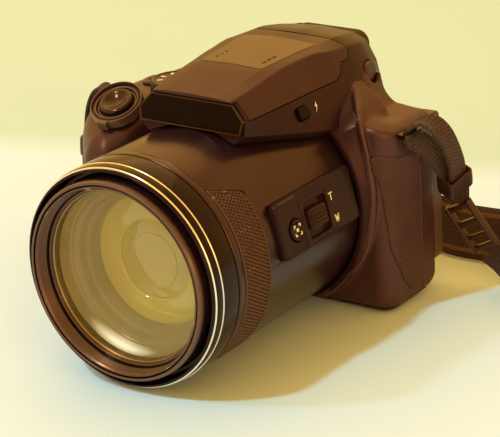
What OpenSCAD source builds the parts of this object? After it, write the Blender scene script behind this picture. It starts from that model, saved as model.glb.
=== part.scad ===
// Bridge camera with a long telescoping zoom lens, pop-up flash, eye-level finder, tilting monitor and neck strap.
// The origin is the mouth of the tripod bush in the base, straight under the lens axis.
// +X is the side with the zoom control, +Y is the back, +Z is up, and the lens looks along -Y.

/* [Lens] */
// Height of the lens axis above the base
axis_z = 41; // [40.9:0.1:41.4]
// Outer radius of the fixed barrel at its front
barrel_r = 40.6; // [40.4:0.05:40.7]
// Radius of the front tube that carries the filter thread
front_tube_r = 36.3; // [36.1:0.05:36.35]
// Radius of the filter thread
filter_r = 33.5; // [33:0.1:33.8]
// Distance of the front rim from the tripod axis
lens_front = 115; // [114.5:0.1:115.5]
// Radius of curvature of the front glass
glass_curve = 70; // [66:1:80]

/* [Body] */
// Left side of the body, seen from the front on the right
body_left = 50; // [49.5:0.1:50.5]
// Grip side of the body
body_right = -90; // [-91:0.1:-89]
// Front face of the body
body_front = -17; // [-17.2:0.1:-16.8]
// Rear face of the body, behind which the monitor folds
body_rear = 16; // [15.9:0.1:16.1]
// How far the hand grip stands out
grip_front = -46.5; // [-47:0.5:-45]
// Wall thickness of the covers
wall = 2.4; // [2:0.1:2.8]

/* [Controls] */
// Radius of the mode dial
mode_r = 10.4; // [10:0.1:11]
// Radius of the zoom lever ring
zoom_r = 10.5; // [10:0.1:10.6]
// Radius of the multi selector ring
selector_r = 11.3; // [10.5:0.1:11.3]
// Radial gap around every button
gap = 0.25; // [0.2:0.05:0.3]

/* [Mounts] */
// Wall radius of the tripod thread, a quarter inch with 20 turns to the inch
tripod_r = 2.6; // [2.5:0.05:2.7]

/* [Strap] */
// Width of the neck strap
strap_w = 21; // [19:0.5:21.5]
// Thickness of the neck strap
strap_t = 2.2; // [1.8:0.1:2.4]
// Width of the narrow webbing
web_w = 8.6; // [8:0.1:8.8]
// Thickness of the narrow webbing
web_t = 1.4; // [1.2:0.1:1.5]

/* [Hidden] */
$fn = 64;

black = [0.10, 0.09, 0.085];
dark = [0.16, 0.15, 0.14];
rubber = [0.07, 0.065, 0.06];
gloss = [0.04, 0.04, 0.045];
steel = [0.7, 0.7, 0.68];
bronze = [0.62, 0.48, 0.27];
glass = [0.55, 0.52, 0.25, 0.6];
web = [0.12, 0.10, 0.09];

// ---- shape helpers -------------------------------------------------------

function unit(v) = v / norm(v);
function mean(P) = [for (k = [0:len(P[0]) - 1]) let (s = [for (p = P) p[k]]) sum(s) / len(s)];
function sum(v, i = 0) = i >= len(v) ? 0 : v[i] + sum(v, i + 1);
function xy(p) = [p[0], p[1]];

// One rounded corner at b between a and c: n + 1 points
function corner(a, b, c, r, n) =
  let (u = unit(a - b), v = unit(c - b), w = 180 - acos(max(-1, min(1, u * v))))
  w < 0.6 ? [for (k = [0:n]) b + (k * 2 / n - 1) * 0.2 * v] :
  let (t = r * tan(w / 2), q = b + unit(u + v) * r / cos(w / 2), s = b + u * t - q, e = b + v * t - q)
  [for (k = [0:n]) q + (sin(w * (1 - k / n)) * s + sin(w * k / n) * e) / sin(w)];

// A polygon of [x, y, corner radius] with its corners rounded
function rpoly(P, n = 4) = [for (i = [0:len(P) - 1])
  each corner(xy(P[(i + len(P) - 1) % len(P)]), xy(P[i]), xy(P[(i + 1) % len(P)]), P[i][2], n)];

// Skin over a stack of rings with the same number of points, closed at both ends
module loft(S, c0 = undef, c1 = undef) {
  n = len(S[0]);
  m = len(S);
  pts = concat([for (s = S) each s], [is_undef(c0) ? mean(S[0]) : c0], [is_undef(c1) ? mean(S[m - 1]) : c1]);
  faces = concat(
    [for (i = [0:m - 2], j = [0:n - 1]) each
      let (a = i * n + j, b = i * n + (j + 1) % n, c = (i + 1) * n + (j + 1) % n, e = (i + 1) * n + j)
      [[a, c, b], [a, e, c]]],
    [for (j = [0:n - 1]) [n * m, j, (j + 1) % n]],
    [for (j = [0:n - 1]) [n * m + 1, (m - 1) * n + (j + 1) % n, (m - 1) * n + j]]);
  polyhedron(points = pts, faces = faces, convexity = 8);
}

// Rounded rectangle from its lower corner, with true arcs
module rrect(w, h, r) {
  translate([r, 0]) square([w - 2 * r, h]);
  translate([0, r]) square([w, h - 2 * r]);
  for (x = [r, w - r], y = [r, h - r]) translate([x, y]) circle(r);
}
module slabx(x0, x1, y0, y1, z0, z1, r) translate([x0, 0, 0]) rotate([90, 0, 90]) linear_extrude(x1 - x0) translate([y0, z0]) rrect(y1 - y0, z1 - z0, r);
module slaby(y0, y1, x0, x1, z0, z1, r) translate([0, y1, 0]) rotate([90, 0, 0]) linear_extrude(y1 - y0) translate([x0, z0]) rrect(x1 - x0, z1 - z0, r);
module slabz(z0, z1, x0, x1, y0, y1, r) translate([0, 0, z0]) linear_extrude(z1 - z0) translate([x0, y0]) rrect(x1 - x0, y1 - y0, r);
module boxc(x0, x1, y0, y1, z0, z1) translate([x0, y0, z0]) cube([x1 - x0, y1 - y0, z1 - z0]);
// A Y-Z outline drawn through the whole width
module across(x0, x1) translate([x0, 0, 0]) rotate([90, 0, 90]) linear_extrude(x1 - x0) children();
// A Z-X outline turned about the lens axis: profile points are [radius, distance in front of the tripod axis]
module axial() translate([0, 0, axis_z]) rotate([90, 0, 0]) children();
module turned(P) axial() rotate_extrude() polygon(P);
// Pins and bores along an axis
module rody(x, z, y0, y1, r) translate([x, y1, z]) rotate([90, 0, 0]) cylinder(r = r, h = y1 - y0);
module rodx(y, z, x0, x1, r) translate([x0, y, z]) rotate([0, 90, 0]) cylinder(r = r, h = x1 - x0);
module rodz(x, y, z0, z1, r) translate([x, y, z0]) cylinder(r = r, h = z1 - z0);
// Places children with local x along l, local y nearest to w
module along(p, l, w) {
  a = unit(l);
  b = unit(w - (w * a) * a);
  c = cross(a, b);
  multmatrix([[a[0], b[0], c[0], p[0]], [a[1], b[1], c[1], p[1]], [a[2], b[2], c[2], p[2]], [0, 0, 0, 1]]) children();
}

// ---- body shape ----------------------------------------------------------

// Plan of the body, drawn in by d
function plan(d, rear = body_rear) = [
  [body_left - d, rear, 1.5], [body_left - d, body_front + d, 7 - d * 0.6], [-48, body_front + d, 4 + d * 0.5],
  [-52 - d, -35, 5], [-57, grip_front + d, 6], [-67 + d * 0.3, grip_front + 1 + d, 8],
  [-81 + d * 0.8, -28 + d * 0.55, 14], [body_right + d, -9, 11], [body_right + d, rear, 1]];
module plan_prism(d, z0, z1, rear = body_rear) translate([0, 0, z0]) linear_extrude(z1 - z0) polygon(rpoly(plan(d, rear), 6));

// Falling shoulder on the grip side, and the chamfer along the grip's outer front edge, lowered by d
module right_fall(d = 0) translate([0, 40, -d]) rotate([90, 0, 0]) linear_extrude(110)
  polygon([[-70, 70.5], [-79, 66.7], [-90, 60.4], [-110, 49], [-110, 130], [-70, 130]]);
module grip_fall(d = 0) translate([-74, -36.75, -d]) rotate([0, 0, atan2(17.5, -14)]) rotate([90, 0, 90]) linear_extrude(60, center = true)
  polygon([[-10, 71], [-5, 67.6], [-2, 63.6], [0.3, 58], [20, 40], [20, 130], [-10, 130]]);
// The block of body and grip above the base plate
module core() difference() { plan_prism(0, 2.3, 84); right_fall(); grip_fall(); }
// The base plate, stepped in towards the table
module base() { plan_prism(2.6, 0, 0.8); plan_prism(1.1, 0.8, 1.6); plan_prism(0.3, 1.6, 2.2); }

// Shoulders of the body seen from the front: low on the grip side, rising towards the hump on the other
module shoulders() translate([0, 30, 0]) rotate([90, 0, 0]) linear_extrude(30 - body_front + 0.01) polygon(rpoly([
  [60, -1, 0.1], [60, 62.2, 0.1], [50.6, 68.6, 1.6], [39, 75.4, 4], [31, 81.5, 6], [24, 85, 2],
  [-24, 85, 2], [-30, 78, 5], [-34, 70.5, 3], [-95, 70.5, 1], [-95, -1, 0.1]], 3));
// The grip's top slopes forward under the shutter
slope = 25.9;
module grip_top() across(-95, -46) polygon([[-60, 70.5 - 39 * tan(slope)], [-21, 70.5], [-16.5, 70.5], [-16.5, -1], [-60, -1]]);

// Sections of the hump: half width and height of the top ridge, fold, seam and lower lip, front to back
HY = [-72, -64, -52, -40, -28, -16, -8, 2, 12, 21];
HA = [[-72, 91.7], [-64, 93.5], [-52, 95.6], [-40, 97.6], [-28, 98.0], [-16, 98.4], [-8, 98.6], [2, 98.7], [12, 97.2], [21, 95.2]];
HBx = [[-72, 11.5], [-64, 12], [-52, 12.5], [-40, 13], [-28, 14.1], [-16, 15.4], [-8, 16.6], [2, 16.6], [12, 15.5], [21, 13.5]];
HBz = [[-72, 91.5], [-64, 93.2], [-52, 95.2], [-40, 97.1], [-28, 97.4], [-16, 97.7], [-8, 97.6], [2, 97.6], [12, 96.3], [21, 94.4]];
HCx = [[-72, 15.6], [-64, 16.6], [-52, 17.9], [-40, 18.1], [-28, 18.8], [-16, 20.4], [-8, 22.0], [2, 22.4], [12, 21.6], [21, 19]];
HCz = [[-72, 91.1], [-64, 92.8], [-52, 94.3], [-40, 95.7], [-28, 96.8], [-16, 97.0], [-8, 95.9], [2, 95.0], [12, 93.8], [21, 92.2]];
HDx = [[-72, 21.6], [-64, 22.2], [-52, 23.1], [-40, 23.8], [-28, 24.4], [-16, 25], [-8, 25.6], [2, 26], [12, 25.6], [21, 23.2]];
HDz = [[-72, 87.0], [-64, 86.9], [-52, 86.3], [-40, 86], [-28, 85.8], [-16, 86], [-8, 86], [2, 86], [12, 85.5], [21, 85]];
HEx = [[-72, 21.2], [-64, 22.6], [-52, 25.6], [-40, 28.5], [-28, 31.3], [-16, 33], [-8, 33.5], [2, 34], [12, 31.5], [21, 26.5]];
HEz = [[-72, 82], [-64, 80.8], [-52, 78.2], [-40, 75.7], [-28, 73.2], [-16, 72], [-8, 72], [2, 72], [12, 72], [21, 72]];
function half(y) = [[lookup(y, HBx), lookup(y, HBz), 2], [lookup(y, HCx), lookup(y, HCz), 1.6],
  [lookup(y, HDx), lookup(y, HDz), 3], [lookup(y, HEx), lookup(y, HEz), 0.7],
  [lookup(y, HEx) - 7, lookup(y, HEz) - 5.5, 1]];
function hump_ring(y) = let (h = half(y), k = len(h))
  [for (p = rpoly(concat([[0, lookup(y, HA), 60]], h, [for (i = [1:k]) [-h[k - i][0], h[k - i][1], h[k - i][2]]]), 2)) [p[0], y, p[1]]];
module hump() loft([for (y = HY) hump_ring(y)], [0, HY[0], 86], [0, 21, 84]);

// The front badge leans back: its face runs from the lip up to the flash lid
badge_lean = 12.3;
module badge_frame() translate([0, -67.1, 81.8]) rotate([-badge_lean, 0, 0]) children();
module badge_shape(g = 0) polygon([[-21.4 - g, -g], [21.4 + g, -g], [22.3 + g, 4.8], [17.3 + g * 0.8, 10.3 + g], [-17.3 - g * 0.8, 10.3 + g], [-22.3 - g, 4.8]]);

// The part of the hump that rises with the flash, grown by g, seen from the side
pin_y = -2.4;
pin_z = 94.9;
module lid_zone(g = 0) across(-60, 60) {
  polygon([[-61.8 - g, 86.1 - g], [-11 + g * 0.7, 86.1 - g], [-7 + g, 88 - g * 0.6], [-4.7 + g, 91 - g * 0.3], [pin_y + g, pin_z],
    [pin_y + g, 104], [-80, 104], [-80, 92.35 - g], [-61.8 - g, 92.35 - g]]);
  translate([pin_y, pin_z]) circle(3.8 + g);
}

// Frame of the side control on the barrel: x outward, y back, z up
side_turn = 14;
module side_frame() translate([0, 0, axis_z]) rotate([0, -side_turn, 0]) children();
// Frame of the shutter on the sloping grip top
shut = [-61.5, -27.9, 70.5 - 6.9 * tan(slope)];
module shutter_frame() translate(shut) rotate([slope, 0, 0]) children();
// Frame of the flash release on the side of the hump
flash_turn = 26.6;
module flash_frame() translate([26.8, -34.9, 81.3]) rotate([0, -flash_turn, 0]) children();

// Where the top cover parts from the covers below
module top_zone(z = 66.2) across(-100, 70) polygon([[25, z], [-17, z], [-55, z - 18.5], [-55, 110], [25, 110]]);
module cavity(z0, z1, y1) difference() { plan_prism(wall, z0, z1, y1); right_fall(2.8); grip_fall(2.8); }

// Centres of the rear buttons: x, z, radius
movie = [-64, 59, 3.6];
monitor = [-43.5, 59.5, 2.9];
playback = [-42.5, 50, 2.9];
menu = [-45, 15, 2.9];
delete = [-67, 15, 2.9];
selector = [-56, 36];
module rear_button(b, c) color(c) { rody(b[0], b[1], 18.4, 21.2, b[2]); rody(b[0], b[1], 21.2, 21.7, b[2] - 0.4); }

// Monitor hinge
lcd_y = 19.2;
lcd_z = 66;

// ---- body pieces ---------------------------------------------------------

module front_cover() color(black) {
  difference() {
    union() {
      intersection() { core(); boxc(-100, 70, -60, 5.6, 2, 65.9); }
      intersection() {
        turned([[40.9, 16.5], [46, 16.5], [45.6, 19.5], [44.2, 22.5], [40.9, 22.5]]);
        boxc(-47.5, 60, -30, 0, 2.3, 65.9);
      }
    }
    cavity(-5, 63.5, 20);
    // light path, and the tapering seat of the barrel
    axial() cylinder(r = 34, h = 30);
    // room under the sloping top of the grip
    across(-100, -46) polygon([[-17, 65.9], [-55, 47.4], [-55, 90], [-17, 90]]);
    // battery door knuckles
    boxc(-73, -53.5, 2, 5.7, 0, 4.4);
  }
  // bosses of the base screws
  for (p = [[40, -8], [-40, -8]]) difference() {
    union() { rodz(p[0], p[1], 2.3, 9, 2.6); boxc(p[0] - 1.2, p[0] + 1.2, body_front + 1, p[1], 2.3, 9); }
    rodz(p[0], p[1], 2, 6.5, 0.95);
  }
}

module rear_cover() color(black) {
  difference() {
    union() {
      intersection() { core(); boxc(-100, 70, 5.8, 30, 2.3, 65.9); }
      difference() { slaby(body_rear - 0.5, 20.5, -89.4, -36, 5, 65.9, 4); right_fall(); }
    }
    cavity(-5, 63.5, 13.6);
    for (b = [movie, monitor, playback, menu, delete]) rody(b[0], b[1], 17.2, 30, b[2] + gap);
    rody(selector[0], selector[1], 18.8, 30, selector_r + 0.3);
    rody(selector[0], selector[1], 17.2, 30, 4.75);
    // connector bay on the grip side
    boxc(-99, -88.0, 6.2, 15.4, 13.7, 46.3);
    boxc(-99, -80, 7.8, 13.4, 17, 41);
    rodz(-89.1, 14.2, 12.4, 48, 0.55);
    // wheel and hinge clearances
    boxc(-73, -53.5, 2, 6.3, 0, 4.4);
  }
  // ears of the monitor hinge
  for (x = [-31, 44]) difference() {
    union() { boxc(x, x + 5, 15.9, lcd_y, 63.2, 68.8); rodx(lcd_y, lcd_z, x, x + 5, 2.8); }
    rodx(lcd_y, lcd_z, x - 1, x + 6, 1.2);
  }
  // posts of the circuit board
  for (p = [[-44, 12], [40, 12], [-44, 56], [40, 56]]) rody(p[0], p[1], 8.6, 13.7, 2.4);
}

module top_cover() color(black) difference() {
  union() {
    intersection() { core(); shoulders(); boxc(-100, 70, body_front - 0.01, 16, 66.2, 90); }
    difference() {
      intersection() { core(); grip_top(); top_zone(); boxc(-100, -46, -60, -16.5, 40, 80); }
      shutter_frame() cylinder(r = 6.95, h = 20, center = true);
    }
    shutter_frame() difference() { translate([0, 0, -2.5]) cylinder(r = 7.9, h = 6.2); translate([0, 0, -5]) cylinder(r = 6.95, h = 20); }
    difference() {
      hump();
      badge_frame() boxc(-40, 40, -30, 2, -20, 60);
      boxc(-60, 60, 16, 40, 40, 72.2);
      axial() cylinder(r = 41, h = 90);
      boxc(-60, 60, -20, 30, 40, 66.2);
    }
    // ears of the flash pin
    for (x = [-11, 8]) { rodx(pin_y, pin_z, x, x + 3, 1.9); boxc(x, x + 3, -4.3, -0.6, 84, pin_z); }
  }
  difference() { lid_zone(0.35); for (x = [-11, 8]) { rodx(pin_y, pin_z, x, x + 3, 1.9); boxc(x, x + 3, -4.3, -0.6, 84, pin_z); } }
  rodx(pin_y, pin_z, -14.2, 14.2, 1.2);
  // hollow of the hump, finder chamber and eyepiece window
  boxc(-17, 17, -30, 12.5, 60, 83.4);
  boxc(-12, 12, 3.2, 18.6, 60, 92);
  boxc(-10.5, 10.5, 18, 30, 80, 92);
  // wells of the top controls
  rodz(-45.8, -11.5, 60, 75, 3.05);
  rodz(-58, 13.5, 67, 75, 8.4);
  rodz(-58, 13.5, 60, 75, 2.55);
  rodz(-64.5, -1.5, 68.4, 75, 4.45);
  flash_frame() slabx(-2.6, 6, -3.5, 3.5, -2.55, 2.55, 1.4);
  rodx(11.5, 83.5, 23.1, 40, 4.2);
  rodx(11.5, 83.5, 18, 30, 1.25);
  // hollow under the grip side
  boxc(-72, -36, -13, 3, 60, 68);
}

module bottom_cover() color(dark) difference() {
  base();
  rodz(0, 0, -1, 5, 6);
  for (p = [[40, -8], [-40, -8], [40, 8], [-44, 8]]) { rodz(p[0], p[1], -1, 1.55, 1.75); rodz(p[0], p[1], -1, 5, 0.95); }
  // opening and knuckle groove of the battery door
  boxc(-72.3, -54, -35.3, 4.9, -1, 5);
  rodx(3.6, 1.15, -74, -52.5, 0.62);
}

module grip_rubber() color(rubber) difference() {
  plan_prism(-0.8, 7, 66);
  plan_prism(0, 0, 80, 20);
  boxc(-54, 70, -60, 30, 0, 90);
  boxc(-100, 70, 3.5, 30, 0, 90);
  across(-100, 70) polygon([[-60, 37.5], [-17, 58.3], [10, 58.3], [10, 90], [-60, 90]]);
  boxc(-97, -88, -2.3, 10.8, 57.4, 61);
}

module left_rubber_panel() color(rubber) difference() {
  plan_prism(-0.7, 5.5, 66);
  plan_prism(0, 0, 80, 20);
  boxc(-100, 46.3, -60, 30, 0, 90);
  boxc(-100, 70, 5.3, 30, 0, 90);
  across(-100, 70) polygon([[-60, 72], [-17, 62.3], [10, 56.3], [10, 90], [-60, 90]]);
  across(-100, 70) polygon([[-60, 0], [-60, 60], [-17.4, 26], [-13, 20], [-8, 11], [-2, 5.4], [10, 5.4], [10, 0]]);
}

module thumb_rest() color(rubber) difference() {
  union() { slaby(20.5, 22.2, -87, -70.5, 34, 56, 4); slaby(22.2, 23, -86, -72.5, 36, 54, 3.4); }
  slaby(22.2, 26, -80.5, -75, 30, 60, 2.4);
}

module badge_plate() color(gloss) badge_frame() translate([0, 2, 0]) rotate([90, 0, 0]) {
  linear_extrude(1.4) badge_shape();
  translate([0, 0, 1.4]) linear_extrude(0.6) polygon([[-20.3, 1], [20.3, 1], [21, 4.7], [16.7, 9.4], [-16.7, 9.4], [-21, 4.7]]);
}

module tripod_socket() color(steel) difference() {
  union() { rodz(0, 0, 0, 2.3, 6); rodz(0, 0, 2.3, 7, 7.5); }
  rodz(0, 0, -1, 5.8, tripod_r);
}

module lug(s) difference() {
  union() { slabz(67.4, 69, 50, 54.2, -10, 1.5, 1); boxc(50, 51, -9, 0.5, 66.6, 69); }
  slabz(60, 80, 51.15, 52.9, -8.8, 0.3, 0.6);
}
module strap_lugs() color(steel) {
  lug(1);
  translate([-40, 8.5, -9.2]) mirror([1, 0, 0]) lug(1);
}

module housing_screws() color(steel) for (p = [[40, -8], [-40, -8], [40, 8], [-44, 8]]) difference() {
  union() { rodz(p[0], p[1], 0.35, 1.55, 1.7); rodz(p[0], p[1], 1.5, 5.8, 0.9); }
  boxc(p[0] - 1.1, p[0] + 1.1, p[1] - 0.22, p[1] + 0.22, 0, 0.9);
  boxc(p[0] - 0.22, p[0] + 0.22, p[1] - 1.1, p[1] + 1.1, 0, 0.9);
}

module main_board() color([0.05, 0.25, 0.12]) {
  difference() { slaby(7, 8.6, -48, 46, 7, 61, 1.5); rody(0, 41, 0, 20, 9); }
  for (b = [[-30, 30, 8], [20, 46, 7], [24, 20, 6]]) boxc(b[0] - b[2], b[0] + b[2], 5.9, 7, b[1] - b[2], b[1] + b[2]);
}

module image_sensor() color([0.25, 0.3, 0.25]) {
  slaby(body_front + wall, body_front + wall + 2, -40, 40, 20, 62, 3);
  slaby(body_front + wall - 1.8, body_front + wall, -7, 7, 36, 46, 0.8);
}

// ---- lens ----------------------------------------------------------------

module lens_barrel() color(black) difference() {
  turned([[14, -body_front], [39.7, -body_front], [40.2, 60], [40.3, 94.6], [barrel_r, 94.8], [barrel_r, 97.9],
    [38.4, 97.9], [38.4, 20], [14, 20]]);
  axial() rotate([0, 0, -50]) rotate_extrude(angle = 97) polygon([[39.7, 79], [43, 79], [43, 94.5], [39.7, 94.5]]);
  side_frame() boxc(38.9, 46, -73.5, -24, -10.5, 10.5);
}

module barrel_grip_pad() color(rubber) axial() rotate([0, 0, -50]) rotate_extrude(angle = 97)
  polygon([[39.7, 79], [40.9, 79], [41.2, 79.4], [41.2, 80.4], [40.9, 80.8], [40.9, 92.7], [41.2, 93.1], [41.2, 94.1], [40.9, 94.5], [39.7, 94.5]]);

module barrel_front_ring() color(gloss) turned([[38.6, 97.9], [39.6, 97.9], [39.6, 98.4], [40.5, 98.4], [40.55, 99], [40.5, 107],
  [39.9, 107], [39.9, 107.7], [40.4, 107.7], [40.15, 110.4], [39.2, 110.4], [39.2, 111.5], [39, 111.9], [38.6, 111.9]]);
module trim_ring_thin() color(bronze) turned([[39.9, 107], [40.6, 107], [40.7, 107.2], [40.7, 107.5], [40.6, 107.7], [39.9, 107.7]]);
module trim_ring_bright() color(bronze) turned([[39.2, 110.4], [40.15, 110.4], [40.25, 110.7], [40.1, 111.2], [39.8, 111.5], [39.2, 111.5]]);

module zoom_tube_outer() color(dark) turned([[36.65, 28], [38.1, 28], [38.1, 105.6], [37.8, 106], [36.9, 106], [36.65, 105.7]]);

module zoom_tube_inner() color(black) turned([[18.2, 79], [18.2, 83], [34.4, 83], [34.4, 94], [32, 94], [32, 96.6], [34.4, 96.6],
  [34.4, 113], [front_tube_r, 113], [front_tube_r, 30], [34.4, 30], [34.4, 79]]);

module filter_ring() color(black) turned([[31.6, 100.6], [34.4, 100.6], [34.4, 113], [front_tube_r, 113], [front_tube_r, lens_front - 0.5],
  [front_tube_r - 0.5, lens_front], [filter_r + 0.5, lens_front], [filter_r, lens_front - 0.5], [filter_r, 108.5], [33.1, 108.3], [31.6, 102.4]]);

module front_element() color(glass) turned(concat(
  [for (i = [0:12]) let (r = 31.5 * i / 12) [r, 108 - glass_curve + sqrt(glass_curve * glass_curve - r * r)]],
  [[33.9, 100.4], [33.9, 96.9]],
  [for (i = [12:-1:0]) let (r = 32 * i / 12) [r, 94.2 + 2.4 * pow(r / 32, 2)]]));

module second_group() color(glass) turned(concat(
  [for (i = [0:8]) let (r = 18 * i / 8) [r, 87.4 - 40 + sqrt(1600 - r * r)]],
  [[18.2, 83], [18.2, 79]],
  [for (i = [8:-1:0]) let (r = 17.5 * i / 8) [r, 77 + 2 * pow(r / 17.5, 2)]]));

module iris_unit() color(dark) difference() {
  turned([[5, 61], [34.4, 61], [34.4, 66], [20, 66], [18, 64.5], [5, 63.5]]);
  for (a = [0:60:300]) axial() rotate([0, 0, a]) translate([28, 0, 60]) cylinder(r = 2, h = 10);
}

module side_control_panel() color(dark) side_frame() difference() {
  union() {
    slabx(38.9, 41.4, -73.5, -24, -10.5, 10.5, 1.6);
    slabx(41.4, 42.1, -73, -24.5, -10, 10, 1.4);
  }
  translate([39.3, -63.8, -1.6]) rotate([0, 90, 0]) cylinder(r = 3.5, h = 6);
  slabx(39.8, 46, -57, -42.5, -7.8, 5.4, 1.4);
}
module snapback_button() color(gloss) side_frame() translate([40.1, -63.8, -1.6]) rotate([0, 90, 0]) {
  cylinder(r = 3.2, h = 2.4);
  translate([0, 0, 2.4]) cylinder(r = 2.7, h = 0.5);
}
module side_zoom_lever() color(dark) side_frame() {
  slabx(40.2, 42.3, -55.2, -44.3, -5, 2.6, 1);
  slabx(42.3, 43.2, -54.4, -45.1, -4.2, 1.8, 0.9);
  for (k = [-1, 0, 1]) slabx(43.2, 43.7, -53.4, -46.1, -1.6 + k * 1.7, -0.8 + k * 1.7, 0.3);
}

// ---- flash ---------------------------------------------------------------

module flash_lid() color(black) difference() {
  intersection() { hump(); lid_zone(); }
  badge_frame() boxc(-40, 40, -30, 0.3, -20, 60);
  badge_frame() translate([0, 2.8, 0]) rotate([90, 0, 0]) linear_extrude(20) badge_shape(0.4);
  slaby(-64, -58.9, -15.1, 15.1, 86.4, 91.5, 0.8);
  // hollow under the lid, and the room of the pin ears through the whole swing
  boxc(-17.5, 17.5, -59, -9, 80, 93);
  rodx(pin_y, pin_z, -30, 30, 1.27);
  for (x = [-11, 8]) { rodx(pin_y, pin_z, x - 0.5, x + 3.5, 2.3); boxc(x - 0.5, x + 3.5, -4.9, 3, 84, pin_z); }
}
module flash_window() color([0.85, 0.85, 0.8, 0.6]) slaby(-61.7, -59, -15, 15, 86.5, 91.4, 0.8);
module flash_reflector() color(steel) difference() {
  slaby(-59, -50, -16.5, 16.5, 86.4, 92.4, 0.8);
  translate([-14, -60, 89.4]) rotate([0, 90, 0]) linear_extrude(28) polygon([[-2.6, 0.9], [2.6, 0.9], [1.6, 6], [0.8, 8], [-0.8, 8], [-1.6, 6]]);
}
module flash_hinge_pin() color(steel) rodx(pin_y, pin_z, -14, 14, 1.2);
module flash_button() color(black) flash_frame() { slabx(-1.6, 0.5, -3.2, 3.2, -2.25, 2.25, 1.2); slabx(0.5, 0.9, -2.8, 2.8, -1.85, 1.85, 1); }

// ---- finder and monitor --------------------------------------------------

module eyecup() color(rubber) difference() {
  union() { slaby(21, 24, -17, 17, 77.2, 94, 5); slaby(24, 28, -16, 16, 78, 93.2, 5); }
  slaby(20, 23.2, -10.6, 10.6, 79.9, 92.1, 1.5);
  slaby(20, 25.4, -9, 9, 81.2, 90.8, 2.5);
  slaby(25.4, 30, -11.5, 11.5, 79.6, 92.4, 4);
}
module eyepiece_lens() color([0.5, 0.5, 0.55, 0.5]) {
  slaby(20.4, 23.1, -10.4, 10.4, 80.1, 91.9, 1.4);
  slaby(23.1, 23.8, -8.6, 8.6, 81.6, 90.4, 2.3);
}
module evf_display() color([0.2, 0.2, 0.25]) {
  slaby(4.4, 6.4, -9, 9, 77, 91, 0.8);
  difference() { boxc(-10.5, 10.5, 6.4, 9, 76.5, 91.5); boxc(-8, 8, 6, 10, 79, 89); }
}
module diopter_dial() color(dark) {
  rodx(11.5, 83.5, 23.6, 26.4, 3.8);
  rodx(11.5, 83.5, 26.4, 26.9, 3.3);
  rodx(11.5, 83.5, 19, 23.6, 1.2);
}

module lcd_frame() color(black) difference() {
  union() {
    slaby(16.4, 22, -31, 49.3, 10, 66, 2.8);
    rodx(lcd_y, lcd_z, -25.6, 43.6, 2.8);
    boxc(-25.6, 43.6, 16.4, 22, 55, 66);
  }
  for (x = [-32, 43.6]) boxc(x, x + 6.4, 10, 30, 62.6, 75);
  boxc(-27, 45.3, 20.6, 30, 13.5, 61);
  rodx(lcd_y, lcd_z, -40, 60, 1.27);
}
module lcd_glass() color([0.05, 0.05, 0.07]) slaby(20.6, 21.8, -26.9, 45.2, 13.6, 60.9, 0.8);
module lcd_hinge_pins() color(steel) { rodx(lcd_y, lcd_z, -31, -19, 1.2); rodx(lcd_y, lcd_z, 37, 49, 1.2); }

// ---- controls ------------------------------------------------------------

module mode_dial() color(black) {
  difference() { rodz(-45.8, -11.5, 70.9, 77.4, mode_r);
    for (a = [0:12:348]) translate([-45.8 + mode_r * cos(a), -11.5 + mode_r * sin(a), 72]) cylinder(r = 0.5, h = 4.4); }
  rodz(-45.8, -11.5, 77.4, 77.9, mode_r - 0.6);
  rodz(-45.8, -11.5, 66.4, 70.9, 3);
}
module command_dial() color(black) {
  difference() { rodz(-58, 13.5, 67.4, 70.8, 8);
    for (a = [0:15:345]) translate([-58 + 8 * cos(a), 13.5 + 8 * sin(a), 66]) cylinder(r = 0.5, h = 6); }
  rodz(-58, 13.5, 70.8, 71.2, 7.2);
  rodz(-58, 13.5, 66.3, 67.4, 2.5);
}
module shutter_button() color(dark) shutter_frame() difference() {
  union() { translate([0, 0, -1.6]) cylinder(r = 6.7, h = 7.4); translate([0, 0, 5.8]) cylinder(r = 6.2, h = 0.6); }
  translate([0, 0, 26]) sphere(r = 20);
}
module zoom_lever() color(black) shutter_frame() {
  difference() {
    union() { translate([0, 0, 0.4]) cylinder(r = zoom_r, h = 4.2); translate([0, 0, 4.6]) cylinder(r = zoom_r - 0.7, h = 0.7);
      rotate([0, 0, -90]) translate([8.8, -2.2, 0.8]) cube([3.2, 4.4, 3.4]); }
    cylinder(r = 8.2, h = 20, center = true);
  }
}
module power_button() color(dark) { rodz(-64.5, -1.5, 69.4, 71.4, 4.2); rodz(-64.5, -1.5, 71.4, 71.8, 3.7); }
module multi_selector() color(dark) difference() {
  union() { rody(selector[0], selector[1], 19.2, 21.4, selector_r); rody(selector[0], selector[1], 21.4, 22, selector_r - 0.7); }
  rody(selector[0], selector[1], 15, 30, 5.1);
}
module ok_button() color(black) { rody(selector[0], selector[1], 18.3, 21.8, 4.5); rody(selector[0], selector[1], 21.8, 22.2, 4); }
module movie_button() rear_button(movie, [0.3, 0.06, 0.05]);
module monitor_button() rear_button(monitor, dark);
module playback_button() rear_button(playback, dark);
module menu_button() rear_button(menu, dark);
module delete_button() rear_button(delete, dark);

// ---- underside and side doors -------------------------------------------

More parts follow.
